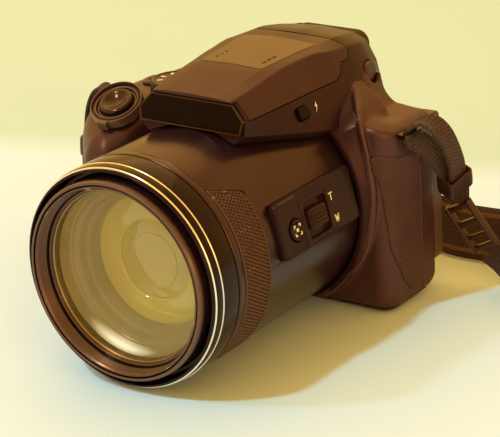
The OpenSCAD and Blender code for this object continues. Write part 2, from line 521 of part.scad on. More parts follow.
module battery_door() color(dark) {
  boxc(-72, -54.3, -35, 3.6, 0.15, 2.1);
  rodx(3.6, 1.15, -72, -54.3, 1);
  rodx(3.6, 1.15, -73.6, -52.9, 0.55);
}
module battery() color([0.2, 0.2, 0.22]) { slabz(4, 42, -69.5, -58.5, -31, -1, 2); for (k = [0:2]) boxc(-66 + k * 3, -64.6 + k * 3, -30.6, -28, 42, 42.4); }
module memory_card() color([0.1, 0.15, 0.35]) translate([-57, 0, 0]) rotate([90, 0, 90]) linear_extrude(2.1) polygon([[-26, 5], [-2, 5], [-2, 33], [-6, 37], [-26, 37]]);
module connector_cover() color(black) {
  boxc(-90, -88.3, 6.5, 14.2, 14, 46);
  rodz(-89.1, 14.2, 14, 46, 0.8);
  rodz(-89.1, 14.2, 12.8, 47.2, 0.5);
}
module connector_sockets() color(steel) difference() {
  slabx(-87.8, -82, 7.9, 13.3, 17.1, 40.9, 0.8);
  slabx(-89, -83.5, 9, 12.2, 19, 28, 0.6);
  slabx(-89, -83.5, 9.2, 12, 31.5, 38.5, 0.6);
}

// ---- strap ---------------------------------------------------------------

// A band through points p with the width directions w
function band_ring(P, W, i, bw, bt) = let (
  a = P[max(0, i - 1)], b = P[min(len(P) - 1, i + 1)], t = unit(b - a),
  w = unit(W[i] - (W[i] * t) * t), n = cross(t, w))
  [P[i] - w * bw / 2 - n * bt / 2, P[i] + w * bw / 2 - n * bt / 2, P[i] + w * bw / 2 + n * bt / 2, P[i] - w * bw / 2 + n * bt / 2];
module band(P, W, bw, bt) loft([for (i = [0:len(P) - 1]) band_ring(P, W, i, bw, bt)]);

// Left webbing: up inside from the keeper, through the slot, over the bar and down to the buckle
WL = [[56.2, 17, 45], [55.6, 13, 50.5], [54.8, 8, 56.5], [53.9, 3, 61.5], [52.7, -1.8, 64.6], [52.05, -4.2, 66.6], [52.05, -4.2, 69.4],
  [53.4, -3.8, 71], [56, -1.6, 71.8], [58.6, 2.2, 69.9], [60.2, 6.4, 65], [60.9, 10, 58.8], [60.8, 13.2, 52.4], [59.8, 16, 46.8], [58.7, 18, 42], [57.8, 19.3, 37.4], [57.4, 20, 34]];
WLw = [[0.6, 0.8, 0.3], [0.5, 0.85, 0.3], [0.4, 0.9, 0.3], [0.2, 1, 0.2], [0, 1, 0], [0, 1, 0], [0, 1, 0],
  [0, 1, 0], [0.1, 1, 0.1], [0.2, 1, 0.2], [0.3, 0.95, 0.3], [0.4, 0.9, 0.3], [0.5, 0.8, 0.3], [0.7, 0.6, 0.3], [0.9, 0.3, 0.24], [0.97, 0.1, 0.24], [0.97, 0, 0.24]];
// Right webbing, the same on the grip side
WR = [[-101.4, 6.4, 37], [-99.6, 6, 43], [-97, 5.4, 49], [-94.4, 4.8, 53.6], [-92.6, 4.4, 56], [-92.05, 4.2, 57.4], [-92.05, 4.2, 60.2],
  [-93.4, 4.2, 61.8], [-96.2, 4.4, 62.4], [-99.6, 4.8, 60], [-102.6, 5.2, 55], [-104.6, 5.6, 49], [-105.6, 5.8, 43], [-105.8, 6, 37], [-106, 6.4, 31], [-106.4, 7, 26]];
WRw = [for (i = [0:len(WR) - 1]) [-0.1 - i * 0.02, 1, 0]];

module strap_webbing_left() color(web) band(WL, WLw, web_w, web_t);
module strap_webbing_right() color(web) band(WR, WRw, web_w, web_t);

// Keeper: a square sleeve round both layers; buckle: a frame with two cross bars
module keeper() difference() { slabx(-4, 4, -6, 6, -4.2, 4.2, 1.4); slabx(-6, 6, -4.7, 4.7, -3, 3, 0.6); }
module buckle() difference() {
  union() { slabx(-10.2, 10.2, -5.9, -4.5, -1.8, 1.8, 0.6); slabx(-10.2, 10.2, 4.5, 5.9, -1.8, 1.8, 0.6);
    for (x = [-10.2, -2.6, 8.2]) slabx(x, x + 2.2, -5, 5, -1.5, 1.5, 0.5); slabx(3.4, 5.2, -5, 5, -1.2, 0.4, 0.4); }
  boxc(-10.3, 0, -6, 6, 1.6, 3);
}
module strap_hardware() color(dark) {
  along([57.9, 17.2, 43.9], [-1.2, 2.6, -5], [0.8, 0.5, 0.25]) keeper();
  along([62.05, 22.5, 24.65], [9.5, 5, -17.3], [10.7, 0, 2.6]) buckle();
  along([-103.8, 6.2, 37.2], [-0.6, 0.3, -5], [-0.3, 1, 0.05]) keeper();
  along([-108.3, 9.2, 16.4], [-3.8, 4.2, -19], [-0.4, 1, 0.2]) buckle();
}

// Neck strap lying on its edge: plan point, lean, width and, at the ends, height of the middle
NR = [[67.4, 25.3, 0, 9.5, 14.4], [71, 26.1, 0, 11, 12.2], [77, 26, 0, 17, 10.4], [84, 24.8, -4, 21, 0], [94, 23.4, -8, 21, 0], [106, 23, -10, 21, 0], [119, 25.6, -10, 21, 0],
  [129, 32.5, -10, 21, 0], [133, 42, -10, 21, 0], [129, 51.5, -12, 21, 0], [119, 56.4, -14, 21, 0], [106, 56.6, -16, 21, 0], [92, 54.6, -18, 21, 0],
  [78, 52.2, -20, 21, 0], [64, 50, -22, 21, 0], [52, 49, -26, 21, 0], [40, 49.6, -30, 21, 0], [26, 53, -24, 21, 0], [8, 57.5, -18, 21, 0],
  [-12, 60.5, -14, 21, 0], [-34, 62, -10, 21, 0], [-56, 64, -8, 21, 0], [-73, 69, -8, 21, 0], [-83, 78, -8, 21, 0], [-84, 90, -8, 21, 0],
  [-76, 99, -8, 21, 0], [-62, 103, -8, 21, 0], [-46, 105.5, -4, 21, 0], [-33, 111.5, 0, 21, 0], [-28, 122, 6, 21, 0], [-34, 132, 8, 21, 0],
  [-47, 137, 8, 21, 0], [-64, 138, 8, 21, 0], [-83, 134.5, 8, 21, 0], [-100, 125, 8, 21, 0], [-112, 110, 8, 21, 0], [-118.6, 92, 8, 21, 0],
  [-121, 72, 6, 21, 0], [-120.4, 52, 4, 21, 0], [-117, 33, 2, 18, 10], [-113.4, 20, 0, 12, 7.5], [-111, 13.6, 0, 9.5, 6]];
function nr_t(i) = unit([NR[min(len(NR) - 1, i + 1)][0] - NR[max(0, i - 1)][0], NR[min(len(NR) - 1, i + 1)][1] - NR[max(0, i - 1)][1]]);
NP = [for (r = NR) let (w = r[3] * strap_w / 21) [r[0], r[1], r[4] > 0 ? max(r[4], w / 2 + 0.1) : w / 2 * cos(r[2]) + strap_t / 2 * abs(sin(r[2])) + 0.1]];
function nr_w(i) = let (t = nr_t(i), a = NR[i][2]) [-t[1] * sin(a), t[0] * sin(a), cos(a)];
function nr_ring(i) = let (w = nr_w(i), t = nr_t(i), n = cross([t[0], t[1], 0], w), hw = NR[i][3] * strap_w / 42, ht = strap_t / 2)
  [NP[i] - w * hw - n * ht, NP[i] + w * hw - n * ht, NP[i] + w * hw + n * ht, NP[i] - w * hw + n * ht];
module neck_strap() color(web) loft([for (i = [0:len(NR) - 1]) nr_ring(i)]);

// ---- nodes ---------------------------------------------------------------

front_cover();
rear_cover();
top_cover();
bottom_cover();
grip_rubber();
left_rubber_panel();
thumb_rest();
badge_plate();
tripod_socket();
strap_lugs();
housing_screws();
main_board();
image_sensor();
lens_barrel();
barrel_grip_pad();
barrel_front_ring();
trim_ring_thin();
trim_ring_bright();
zoom_tube_outer();
zoom_tube_inner();
filter_ring();
front_element();
second_group();
iris_unit();
side_control_panel();
snapback_button();
side_zoom_lever();
flash_lid();
flash_reflector();
flash_window();
flash_hinge_pin();
flash_button();
eyecup();
eyepiece_lens();
evf_display();
diopter_dial();
lcd_frame();
lcd_glass();
lcd_hinge_pins();
mode_dial();
command_dial();
shutter_button();
zoom_lever();
power_button();
multi_selector();
ok_button();
movie_button();
monitor_button();
playback_button();
menu_button();
delete_button();
battery_door();
battery();
memory_card();
connector_cover();
connector_sockets();
strap_webbing_left();
strap_webbing_right();
strap_hardware();
neck_strap();
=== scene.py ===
import math
import bpy
import bmesh
import numpy as np
from mathutils import Vector, Matrix


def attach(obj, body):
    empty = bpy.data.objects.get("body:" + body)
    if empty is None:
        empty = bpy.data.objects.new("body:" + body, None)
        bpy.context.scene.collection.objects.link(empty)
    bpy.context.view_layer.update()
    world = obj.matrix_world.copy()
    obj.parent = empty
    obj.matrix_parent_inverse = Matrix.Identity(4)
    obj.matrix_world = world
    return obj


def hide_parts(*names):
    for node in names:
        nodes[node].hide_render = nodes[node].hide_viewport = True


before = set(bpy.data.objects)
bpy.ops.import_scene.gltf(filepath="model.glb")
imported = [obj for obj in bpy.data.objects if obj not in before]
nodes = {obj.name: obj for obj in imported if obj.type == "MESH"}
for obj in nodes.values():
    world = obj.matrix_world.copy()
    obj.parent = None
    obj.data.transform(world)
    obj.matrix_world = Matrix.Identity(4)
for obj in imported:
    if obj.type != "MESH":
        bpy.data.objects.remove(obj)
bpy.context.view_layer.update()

S = 0.001          # the numbers below are millimetres
AZ = 41.0          # height of the lens axis
sc = bpy.context.scene
sc.view_settings.view_transform = "Standard"
sc.view_settings.look = "None"
sc.view_settings.exposure = 0.0

# ---------------------------------------------------------------- camera

cam_data = bpy.data.cameras.new("view")
cam_data.sensor_fit = "HORIZONTAL"
cam_data.sensor_width = 36.0
cam_data.lens = 158.18
cam_data.clip_start = 0.02
cam_data.clip_end = 30.0
cam = bpy.data.objects.new("view", cam_data)
sc.collection.objects.link(cam)
c_right = Vector((0.82443, 0.56364, -0.05122))
c_down = Vector((0.16480, -0.32567, -0.93101))
c_fwd = Vector((-0.54144, 0.75911, -0.36138))
cam.matrix_world = Matrix((
    (c_right.x, -c_down.x, -c_fwd.x, 0.437709),
    (c_right.y, -c_down.y, -c_fwd.y, -0.646902),
    (c_right.z, -c_down.z, -c_fwd.z, 0.328137),
    (0, 0, 0, 1)))
sc.camera = cam

# ---------------------------------------------------------------- materials


def new_mat(name):
    m = bpy.data.materials.new(name)
    m.use_nodes = True
    nt = m.node_tree
    nt.nodes.clear()
    out = nt.nodes.new("ShaderNodeOutputMaterial")
    b = nt.nodes.new("ShaderNodeBsdfPrincipled")
    nt.links.new(b.outputs[0], out.inputs[0])
    return m, nt, b


def coords(nt, scale=(1, 1, 1), rot=(0, 0, 0)):
    tc = nt.nodes.new("ShaderNodeTexCoord")
    mp = nt.nodes.new("ShaderNodeMapping")
    mp.inputs["Scale"].default_value = scale
    mp.inputs["Rotation"].default_value = rot
    nt.links.new(tc.outputs["Object"], mp.inputs["Vector"])
    return mp.outputs["Vector"]


def noise(nt, vec, scale, detail=3.0, rough=0.5, dist=0.0):
    n = nt.nodes.new("ShaderNodeTexNoise")
    n.inputs["Scale"].default_value = scale
    n.inputs["Detail"].default_value = detail
    n.inputs["Roughness"].default_value = rough
    n.inputs["Distortion"].default_value = dist
    nt.links.new(vec, n.inputs["Vector"])
    return n.outputs["Fac"]


def voronoi(nt, vec, scale, feature="F1", rand=1.0):
    n = nt.nodes.new("ShaderNodeTexVoronoi")
    n.feature = feature
    n.inputs["Scale"].default_value = scale
    n.inputs["Randomness"].default_value = rand
    nt.links.new(vec, n.inputs["Vector"])
    return n.outputs["Distance"]


def ramp(nt, fac, stops):
    r = nt.nodes.new("ShaderNodeValToRGB")
    el = r.color_ramp.elements
    while len(el) < len(stops):
        el.new(0.5)
    for e, (p, c) in zip(el, stops):
        e.position = p
        e.color = (*c, 1.0) if len(c) == 3 else c
    nt.links.new(fac, r.inputs["Fac"])
    return r.outputs["Color"]


def remap(nt, fac, a, b, lo=0.0, hi=1.0):
    r = nt.nodes.new("ShaderNodeMapRange")
    r.inputs["From Min"].default_value = lo
    r.inputs["From Max"].default_value = hi
    r.inputs["To Min"].default_value = a
    r.inputs["To Max"].default_value = b
    nt.links.new(fac, r.inputs["Value"])
    return r.outputs["Result"]


def math_node(nt, op, a, b=None):
    m = nt.nodes.new("ShaderNodeMath")
    m.operation = op
    for k, v in enumerate((a, b)):
        if v is None:
            continue
        if isinstance(v, (int, float)):
            m.inputs[k].default_value = v
        else:
            nt.links.new(v, m.inputs[k])
    return m.outputs[0]


def mixc(nt, fac, a, b, mode="MIX"):
    m = nt.nodes.new("ShaderNodeMix")
    m.data_type = "RGBA"
    m.blend_type = mode
    ins = [i for i in m.inputs if i.type == "RGBA"]
    if isinstance(fac, (int, float)):
        m.inputs[0].default_value = fac
    else:
        nt.links.new(fac, m.inputs[0])
    for i, v in zip(ins, (a, b)):
        if isinstance(v, (tuple, list)):
            i.default_value = (*v, 1.0)
        else:
            nt.links.new(v, i)
    return [o for o in m.outputs if o.type == "RGBA"][0]


def bump(nt, b, height, strength, dist, edge=None):
    n = nt.nodes.new("ShaderNodeBump")
    n.inputs["Strength"].default_value = strength
    n.inputs["Distance"].default_value = dist
    nt.links.new(height, n.inputs["Height"])
    if edge:
        e = nt.nodes.new("ShaderNodeBevel")
        e.samples = 4
        e.inputs["Radius"].default_value = edge
        nt.links.new(e.outputs["Normal"], n.inputs["Normal"])
    nt.links.new(n.outputs["Normal"], b.inputs["Normal"])
    return n


# sharp edges found by pointiness: the mask for edge wear and for painted edge highlight
def edge_wear_sheen_mask(nt, lo=0.52, hi=0.62):
    g = nt.nodes.new("ShaderNodeNewGeometry")
    return remap(nt, g.outputs["Pointiness"], 0.0, 1.0, lo, hi)


SHEEN = (1.0, 0.56, 0.50)


def plastic(name, col, col2, rough=0.42, spread=0.10, grain=2600.0, depth=0.00004, strength=0.35, spec=0.45, edge=0.00025, edge_wear_and_sheen=None, mottle=45.0):
    """Moulded plastic: fine spark-eroded grain, faint mottling of tone and shine, slightly polished edges. Sharp edges
    can take a lighter colour: partly edge wear, partly painted highlight where edges catch the light.
    """
    m, nt, b = new_mat(name)
    v = coords(nt)
    fine = noise(nt, v, grain, 3.0, 0.6)
    broad = noise(nt, v, mottle, 4.0, 0.6, 0.4)
    tone = ramp(nt, broad, [(0.30, col), (0.72, col2)])
    speck = ramp(nt, fine, [(0.25, (0.80, 0.80, 0.80)), (0.75, (1.15, 1.15, 1.15))])
    c = mixc(nt, 0.6, tone, speck, "MULTIPLY")
    if edge_wear_and_sheen:
        c = mixc(nt, edge_wear_sheen_mask(nt), c, edge_wear_and_sheen)
    nt.links.new(c, b.inputs["Base Color"])
    r = math_node(nt, "ADD", remap(nt, broad, rough - spread, rough + spread, 0.25, 0.75), remap(nt, fine, -0.04, 0.04))
    nt.links.new(r, b.inputs["Roughness"])
    b.inputs["Specular IOR Level"].default_value = spec
    b.inputs["Specular Tint"].default_value = (*SHEEN, 1.0)
    bump(nt, b, fine, strength, depth, edge)
    return m


def leather(name, col, col2, scale=1500.0, depth=0.00014, rough=0.55, strength=0.8):
    """Pebble-grained soft skin of the grips."""
    m, nt, b = new_mat(name)
    v = coords(nt)
    warp = noise(nt, v, 240.0, 2.0, 0.5)
    cells = voronoi(nt, v, scale, "SMOOTH_F1")
    crease = voronoi(nt, v, scale * 0.62, "DISTANCE_TO_EDGE")
    pores = noise(nt, v, 5200.0, 2.0, 0.6)
    edge = remap(nt, crease, 0.0, 1.0, 0.0, 0.22)
    h = math_node(nt, "ADD", math_node(nt, "MULTIPLY", edge, 0.7), math_node(nt, "SUBTRACT", remap(nt, warp, 0, 0.5), math_node(nt, "MULTIPLY", cells, 0.6)))
    h = math_node(nt, "ADD", h, math_node(nt, "MULTIPLY", pores, 0.12))
    broad = noise(nt, v, 50.0, 3.0, 0.6)
    tone = ramp(nt, broad, [(0.3, col), (0.7, col2)])
    c = mixc(nt, 0.55, tone, ramp(nt, edge, [(0.0, (0.45, 0.45, 0.45)), (0.6, (1.2, 1.2, 1.2))]), "MULTIPLY")
    nt.links.new(c, b.inputs["Base Color"])
    nt.links.new(remap(nt, edge, rough + 0.15, rough - 0.06), b.inputs["Roughness"])
    b.inputs["Specular IOR Level"].default_value = 0.42
    b.inputs["Specular Tint"].default_value = (*SHEEN, 1.0)
    bump(nt, b, h, strength, depth)
    return m


def gloss(name, col, rough=0.09, coat=0.6, smudge=0.10, spec=0.5):
    """Polished plastic with faint finger haze."""
    m, nt, b = new_mat(name)
    v = coords(nt)
    haze = noise(nt, v, 90.0, 5.0, 0.65, 0.8)
    dust = noise(nt, v, 3500.0, 1.0, 0.5)
    c = mixc(nt, remap(nt, haze, 0.0, 0.35, 0.45, 0.8), col, tuple(min(1, x * 2.2 + 0.004) for x in col))
    nt.links.new(c, b.inputs["Base Color"])
    r = math_node(nt, "ADD", remap(nt, haze, rough, rough + smudge, 0.4, 0.75), remap(nt, dust, 0.0, 0.05, 0.6, 0.75))
    nt.links.new(r, b.inputs["Roughness"])
    b.inputs["Specular IOR Level"].default_value = spec
    b.inputs["Coat Weight"].default_value = coat
    b.inputs["Coat Roughness"].default_value = 0.05
    b.inputs["Coat Tint"].default_value = (1.0, 0.9, 0.8, 1.0)
    b.inputs["Specular Tint"].default_value = (*SHEEN, 1.0)
    bump(nt, b, haze, 0.05, 0.00003, 0.0002)
    return m


def metal(name, col, col2, rough=0.25, lines=3000.0, axis="Z", depth=0.00001):
    """Turned or brushed metal."""
    m, nt, b = new_mat(name)
    sc3 = {"X": (0.02, 1, 1), "Y": (1, 0.02, 1), "Z": (1, 1, 0.02), "N": (1, 1, 1)}[axis]
    v = coords(nt, sc3)
    br = noise(nt, v, lines, 3.0, 0.6)
    blotch = noise(nt, coords(nt), 120.0, 3.0, 0.6)
    c = mixc(nt, 0.5, ramp(nt, blotch, [(0.3, col), (0.7, col2)]), ramp(nt, br, [(0.2, (0.8, 0.8, 0.8)), (0.8, (1.1, 1.1, 1.1))]), "MULTIPLY")
    nt.links.new(c, b.inputs["Base Color"])
    b.inputs["Metallic"].default_value = 1.0
    nt.links.new(remap(nt, br, rough - 0.06, rough + 0.10), b.inputs["Roughness"])
    bump(nt, b, br, 0.15, depth, 0.00015)
    return m


def paint(name, col, rough=0.5):
    """Printed marks."""
    m, nt, b = new_mat(name)
    v = coords(nt)
    n = noise(nt, v, 4200.0, 2.0, 0.6)
    c = ramp(nt, n, [(0.25, tuple(x * 0.78 for x in col)), (0.6, col)])
    nt.links.new(c, b.inputs["Base Color"])
    nt.links.new(remap(nt, n, rough - 0.1, rough + 0.1), b.inputs["Roughness"])
    bump(nt, b, n, 0.15, 0.00002)
    return m


BLK = (0.033, 0.0117, 0.0118)
BLK2 = (0.046, 0.0164, 0.0165)
M = {}
M["body"] = plastic("body_black", BLK, BLK2, 0.42, 0.07, 2400.0, 0.00005, 0.4, spec=0.55, edge_wear_and_sheen=(0.085, 0.045, 0.030))
M["barrel"] = plastic("barrel_black", (0.011, 0.0039, 0.0056), (0.017, 0.0060, 0.0086), 0.24, 0.05, 3000.0, 0.00002, 0.25, spec=0.54)
M["lid"] = plastic("lid_black", (0.021, 0.0066, 0.0084), (0.030, 0.0097, 0.0121), 0.40, 0.07, 2600.0, 0.00004, 0.35, spec=0.42)
# hump housing: a darker copy of the black plastic, painted shade for the hump's lower sides and the collar band
M["house"] = plastic("housing_black_painted_shade", (0.0140, 0.0044, 0.0066), (0.0205, 0.0065, 0.0096), 0.34, 0.07, 2600.0, 0.00004, 0.35, spec=0.23)
M["badge"] = plastic("badge_black", (0.0030, 0.0015, 0.0012), (0.0050, 0.0025, 0.0020), 0.16, 0.04, 3200.0, 0.00001, 0.2, spec=0.10)
# filter ring: base lighter than the other blacks, and a very light edge colour, painted light where the ring's face and
# thread ridges catch the lamp
M["rim"] = plastic("rim_black_painted_lit", (0.046, 0.0265, 0.0150), (0.068, 0.0395, 0.0220), 0.27, 0.06, 3000.0, 0.00002, 0.3, spec=0.80, edge_wear_and_sheen=(0.30, 0.19, 0.115))
M["panel"] = plastic("panel_black", (0.0170, 0.0068, 0.0082), (0.0245, 0.0098, 0.0118), 0.20, 0.05, 3200.0, 0.00001, 0.2, spec=0.13, edge_wear_and_sheen=(0.05, 0.028, 0.019))
# lid top plate: lighter than the lid, a painted reflection of the light on the flat top
M["plate"] = plastic("top_plate_painted_reflection", (0.050, 0.0300, 0.0130), (0.066, 0.0400, 0.0180), 0.33, 0.06, 3200.0, 0.00002, 0.3, spec=0.62)
M["dark"] = plastic("satin_black", (0.022, 0.0105, 0.0080), (0.031, 0.0150, 0.0110), 0.37, 0.08, 2600.0, 0.00003, 0.3)
M["rubber"] = leather("grip_skin", (0.040, 0.0168, 0.0165), (0.058, 0.0245, 0.0235))
M["grip"] = leather("hand_skin", (0.062, 0.0230, 0.0098), (0.088, 0.0325, 0.0138))
M["softrub"] = plastic("soft_rubber", (0.026, 0.0140, 0.0105), (0.036, 0.0195, 0.0145), 0.62, 0.06, 1800.0, 0.00005, 0.4, spec=0.3)
M["knurl"] = plastic("knurled_rubber", (0.020, 0.0088, 0.0062), (0.030, 0.0134, 0.0092), 0.42, 0.08, 2400.0, 0.00003, 0.3, spec=0.55, edge=None, edge_wear_and_sheen=(0.19, 0.105, 0.064))
M["gloss"] = gloss("polished_black", (0.006, 0.0028, 0.0040), 0.10, 0.04, 0.10, 0.22)
M["cap"] = gloss("button_black", (0.016, 0.0080, 0.0062), 0.13, 0.2, 0.10, 0.34)
# zoom ring: a lighter brown copy of the black plastic, painted light for its lit top, with light edges as painted
# highlight
M["lever"] = plastic("lever_painted_lit_brown", (0.036, 0.0165, 0.0112), (0.052, 0.0240, 0.0162), 0.34, 0.07, 2600.0, 0.00003, 0.3, spec=0.6, edge_wear_and_sheen=(0.16, 0.095, 0.058))
M["screen"] = gloss("screen_glass", (0.008, 0.008, 0.010), 0.05, 0.9, 0.06)
M["gold"] = metal("warm_trim", (0.98, 0.94, 0.84), (0.92, 0.85, 0.70), 0.16, 2500.0, "Y")
M["edge"] = metal("bronze_edge", (0.085, 0.046, 0.030), (0.058, 0.032, 0.021), 0.28, 2500.0, "X")
M["steel"] = metal("plain_steel", (0.60, 0.57, 0.52), (0.48, 0.45, 0.41), 0.30, 2500.0, "Z")
M["white"] = paint("white_print", (0.80, 0.74, 0.58))
M["grey"] = paint("grey_print", (0.40, 0.33, 0.22))
M["red"] = paint("red_dot", (0.42, 0.03, 0.02))

# ---------------------------------------------------------------- mesh helpers


def unit(v):
    return v / np.linalg.norm(v)


def corner(a, b, c, r, n):
    a, b, c = (np.array(q[:2], float) for q in (a, b, c))
    u, v = unit(a - b), unit(c - b)
    w = math.pi - math.acos(max(-1.0, min(1.0, float(u @ v))))
    if w < 0.01 or r <= 0:
        return [b + (k * 2.0 / n - 1) * 0.02 * v for k in range(n + 1)] if w < 0.01 else [b]
    t = r * math.tan(w / 2)
    q = b + unit(u + v) * r / math.cos(w / 2)
    s, e = b + u * t - q, b + v * t - q
    return [q + (math.sin(w * (1 - k / n)) * s + math.sin(w * k / n) * e) / math.sin(w) for k in range(n + 1)]


def rpoly(P, n=5):
    out = []
    for i in range(len(P)):
        out += corner(P[i - 1], P[i], P[(i + 1) % len(P)], P[i][2] if len(P[i]) > 2 else 0, n)
    return np.array(out)


def rrect(x0, x1, y0, y1, r, n=5):
    return rpoly([(x0, y0, r), (x1, y0, r), (x1, y1, r), (x0, y1, r)], n)


def link(ob):
    sc.collection.objects.link(ob)
    return ob


def clean(me, merge=1e-7):
    bm = bmesh.new()
    bm.from_mesh(me)
    bmesh.ops.remove_doubles(bm, verts=bm.verts, dist=merge)
    bmesh.ops.dissolve_degenerate(bm, edges=bm.edges, dist=1e-8)
    bmesh.ops.recalc_face_normals(bm, faces=bm.faces)
    bm.to_mesh(me)
    bm.free()
    me.update()


def raw(name, V, F, merge=1e-7):
    me = bpy.data.meshes.new(name)
    me.from_pydata([(float(v[0]) * S, float(v[1]) * S, float(v[2]) * S) for v in V], [], [tuple(int(i) for i in f) for f in F])
    clean(me, merge)
    return link(bpy.data.objects.new(name, me))


def smooth(ob, angle=32.0):
    me = ob.data
    for p in me.polygons:
        p.use_smooth = True
    me.set_sharp_from_angle(angle=math.radians(angle))
    return ob


def bevel(ob, width, seg=2, angle=38.0):
    m = ob.modifiers.new("edge", "BEVEL")
    m.width = width * S
    m.segments = seg
    m.limit_method = "ANGLE"
    m.angle_limit = math.radians(angle)
    m.harden_normals = True
    m.use_clamp_overlap = True
    for p in ob.data.polygons:
        p.use_smooth = True
    return ob


def apply(ob):
    dg = bpy.context.evaluated_depsgraph_get()
    me = bpy.data.meshes.new_from_object(ob.evaluated_get(dg))
    old = ob.data
    ob.modifiers.clear()
    ob.data = me
    bpy.data.meshes.remove(old)
    return ob


def drop(ob):
    me = ob.data
    bpy.data.objects.remove(ob)
    if me and me.users == 0:
        bpy.data.meshes.remove(me)


def csg(a, b, op="DIFFERENCE", keep=False):
    m = a.modifiers.new("cut", "BOOLEAN")
    m.operation = op
    m.object = b
    m.solver = "MANIFOLD"
    apply(a)
    if not keep:
        drop(b)
    return a


def piece(ob, mat, body="body", rep=()):
    ob.data.materials.clear()
    ob.data.materials.append(M[mat] if isinstance(mat, str) else mat)
    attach(ob, body)
    if rep:
        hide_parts(*([rep] if isinstance(rep, str) else rep))
    return ob


def lathe(name, prof, seg=160, a0=None, a1=None):
    """Turns a closed profile of (radius, distance in front) about the lens axis."""
    P = np.array(prof, float)[:, :2]
    full = a0 is None
    A = np.linspace(0, 2 * math.pi, seg, endpoint=False) if full else np.radians(np.linspace(a0, a1, seg))
    V, F, n = [], [], len(P)
    for a in A:
        for r, h in P:
            V.append((r * math.cos(a), -h, AZ + r * math.sin(a)))
    k = len(A)
    for i in range(k if full else k - 1):
        j = (i + 1) % k
        for q in range(n):
            w = (q + 1) % n
            F.append((i * n + q, i * n + w, j * n + w, j * n + q))
    if not full:
        F.append(tuple(range(n)))
        F.append(tuple(reversed(range((k - 1) * n, k * n))))
    return raw(name, V, F)


def prism(name, poly, plane, lo, hi):
    """A closed outline pushed from lo to hi. plane 'xy' runs along z, 'xz' along y, 'yz' along x."""
    P = np.array(poly, float)
    n = len(P)
    V = []
    for h in (lo, hi):
        for a, b in P[:, :2]:
            V.append({"xy": (a, b, h), "xz": (a, h, b), "yz": (h, a, b)}[plane])
    F = [tuple(range(n)), tuple(range(n, 2 * n))]
    F += [(i, (i + 1) % n, n + (i + 1) % n, n + i) for i in range(n)]
    return raw(name, V, F)


def loft(name, rings, caps=True):
    n = len(rings[0])
    V = [p for r in rings for p in r]
    F = []
    for i in range(len(rings) - 1):
        for j in range(n):
            F.append((i * n + j, i * n + (j + 1) % n, (i + 1) * n + (j + 1) % n, (i + 1) * n + j))
    if caps:
        F.append(tuple(range(n)))
        F.append(tuple(range((len(rings) - 1) * n, len(rings) * n)))
    return raw(name, V, F)


def place(ob, m):
    """Moves a mesh's points by a matrix given in millimetres."""
    m = m.copy()
    m.translation = m.translation * S
    ob.data.transform(m)
    ob.data.update()
    return ob


def join(name, obs):
    bm = bmesh.new()
    for o in obs:
        bm.from_mesh(o.data)
    me = bpy.data.meshes.new(name)
    bm.to_mesh(me)
    bm.free()
    for o in obs:
        drop(o)
    return link(bpy.data.objects.new(name, me))


def frame_at(pos, x, y):
    """Matrix with local x along x, local y nearest to y, at pos."""
    x = Vector(x).normalized()
    y = Vector(y)
    y = (y - y.dot(x) * x).normalized()
    z = x.cross(y)
    return Matrix(((x.x, y.x, z.x, pos[0]), (x.y, y.y, z.y, pos[1]), (x.z, y.z, z.z, pos[2]), (0, 0, 0, 1)))


def rotx(a):
    return Matrix.Rotation(math.radians(a), 4, "X")


def pchip(xs, ys, x):
    xs, ys = np.array(xs, float), np.array(ys, float)
    h = np.diff(xs)
    d = np.diff(ys) / h
    m = np.zeros(len(xs))
    m[0], m[-1] = d[0], d[-1]
    for i in range(1, len(xs) - 1):
        if d[i - 1] * d[i] > 0:
            w1, w2 = 2 * h[i] + h[i - 1], h[i] + 2 * h[i - 1]
            m[i] = (w1 + w2) / (w1 / d[i - 1] + w2 / d[i])
    i = int(min(max(np.searchsorted(xs, x) - 1, 0), len(xs) - 2))
    t = (x - xs[i]) / h[i]
    return ((2 * t**3 - 3 * t**2 + 1) * ys[i] + (t**3 - 2 * t**2 + t) * h[i] * m[i]
            + (-2 * t**3 + 3 * t**2) * ys[i + 1] + (t**3 - t**2) * h[i] * m[i + 1])


def spline(P, per=6):
    """Smooth points through P, per steps between each pair."""
    P = np.array(P, float)
    out = []
    for i in range(len(P) - 1):
        p0, p1, p2, p3 = P[max(i - 1, 0)], P[i], P[i + 1], P[min(i + 2, len(P) - 1)]
        for k in range(per):
            t = k / per
            out.append(0.5 * ((2 * p1) + (p2 - p0) * t + (2 * p0 - 5 * p1 + 4 * p2 - p3) * t**2 + (3 * p1 - p0 - 3 * p2 + p3) * t**3))
    out.append(P[-1])
    return np.array(out)


# ---------------------------------------------------------------- strap: routes as in the CAD, in millimetres

WL = [[56.2, 17, 45], [55.6, 13, 50.5], [54.8, 8, 56.5], [53.9, 3, 61.5], [52.7, -1.8, 64.6], [52.05, -4.2, 66.6], [52.05, -4.2, 69.4],
      [53.4, -3.8, 71], [56, -1.6, 71.8], [58.6, 2.2, 69.9], [60.2, 6.4, 65], [60.9, 10, 58.8], [60.8, 13.2, 52.4], [59.8, 16, 46.8], [58.7, 18, 42], [57.8, 19.3, 37.4], [57.4, 20, 34]]
WLw = [[0.2, 0.95, 0.25], [0.15, 0.97, 0.25], [0.1, 0.98, 0.2], [0.1, 1, 0.15], [0, 1, 0], [0, 1, 0], [0, 1, 0],
       [0, 1, 0], [0, 1, 0], [0.05, 1, 0.1], [0.1, 1, 0.2], [0.1, 0.98, 0.25], [0.15, 0.96, 0.25], [0.25, 0.93, 0.25], [0.55, 0.75, 0.25], [0.9, 0.35, 0.24], [0.97, 0, 0.24]]
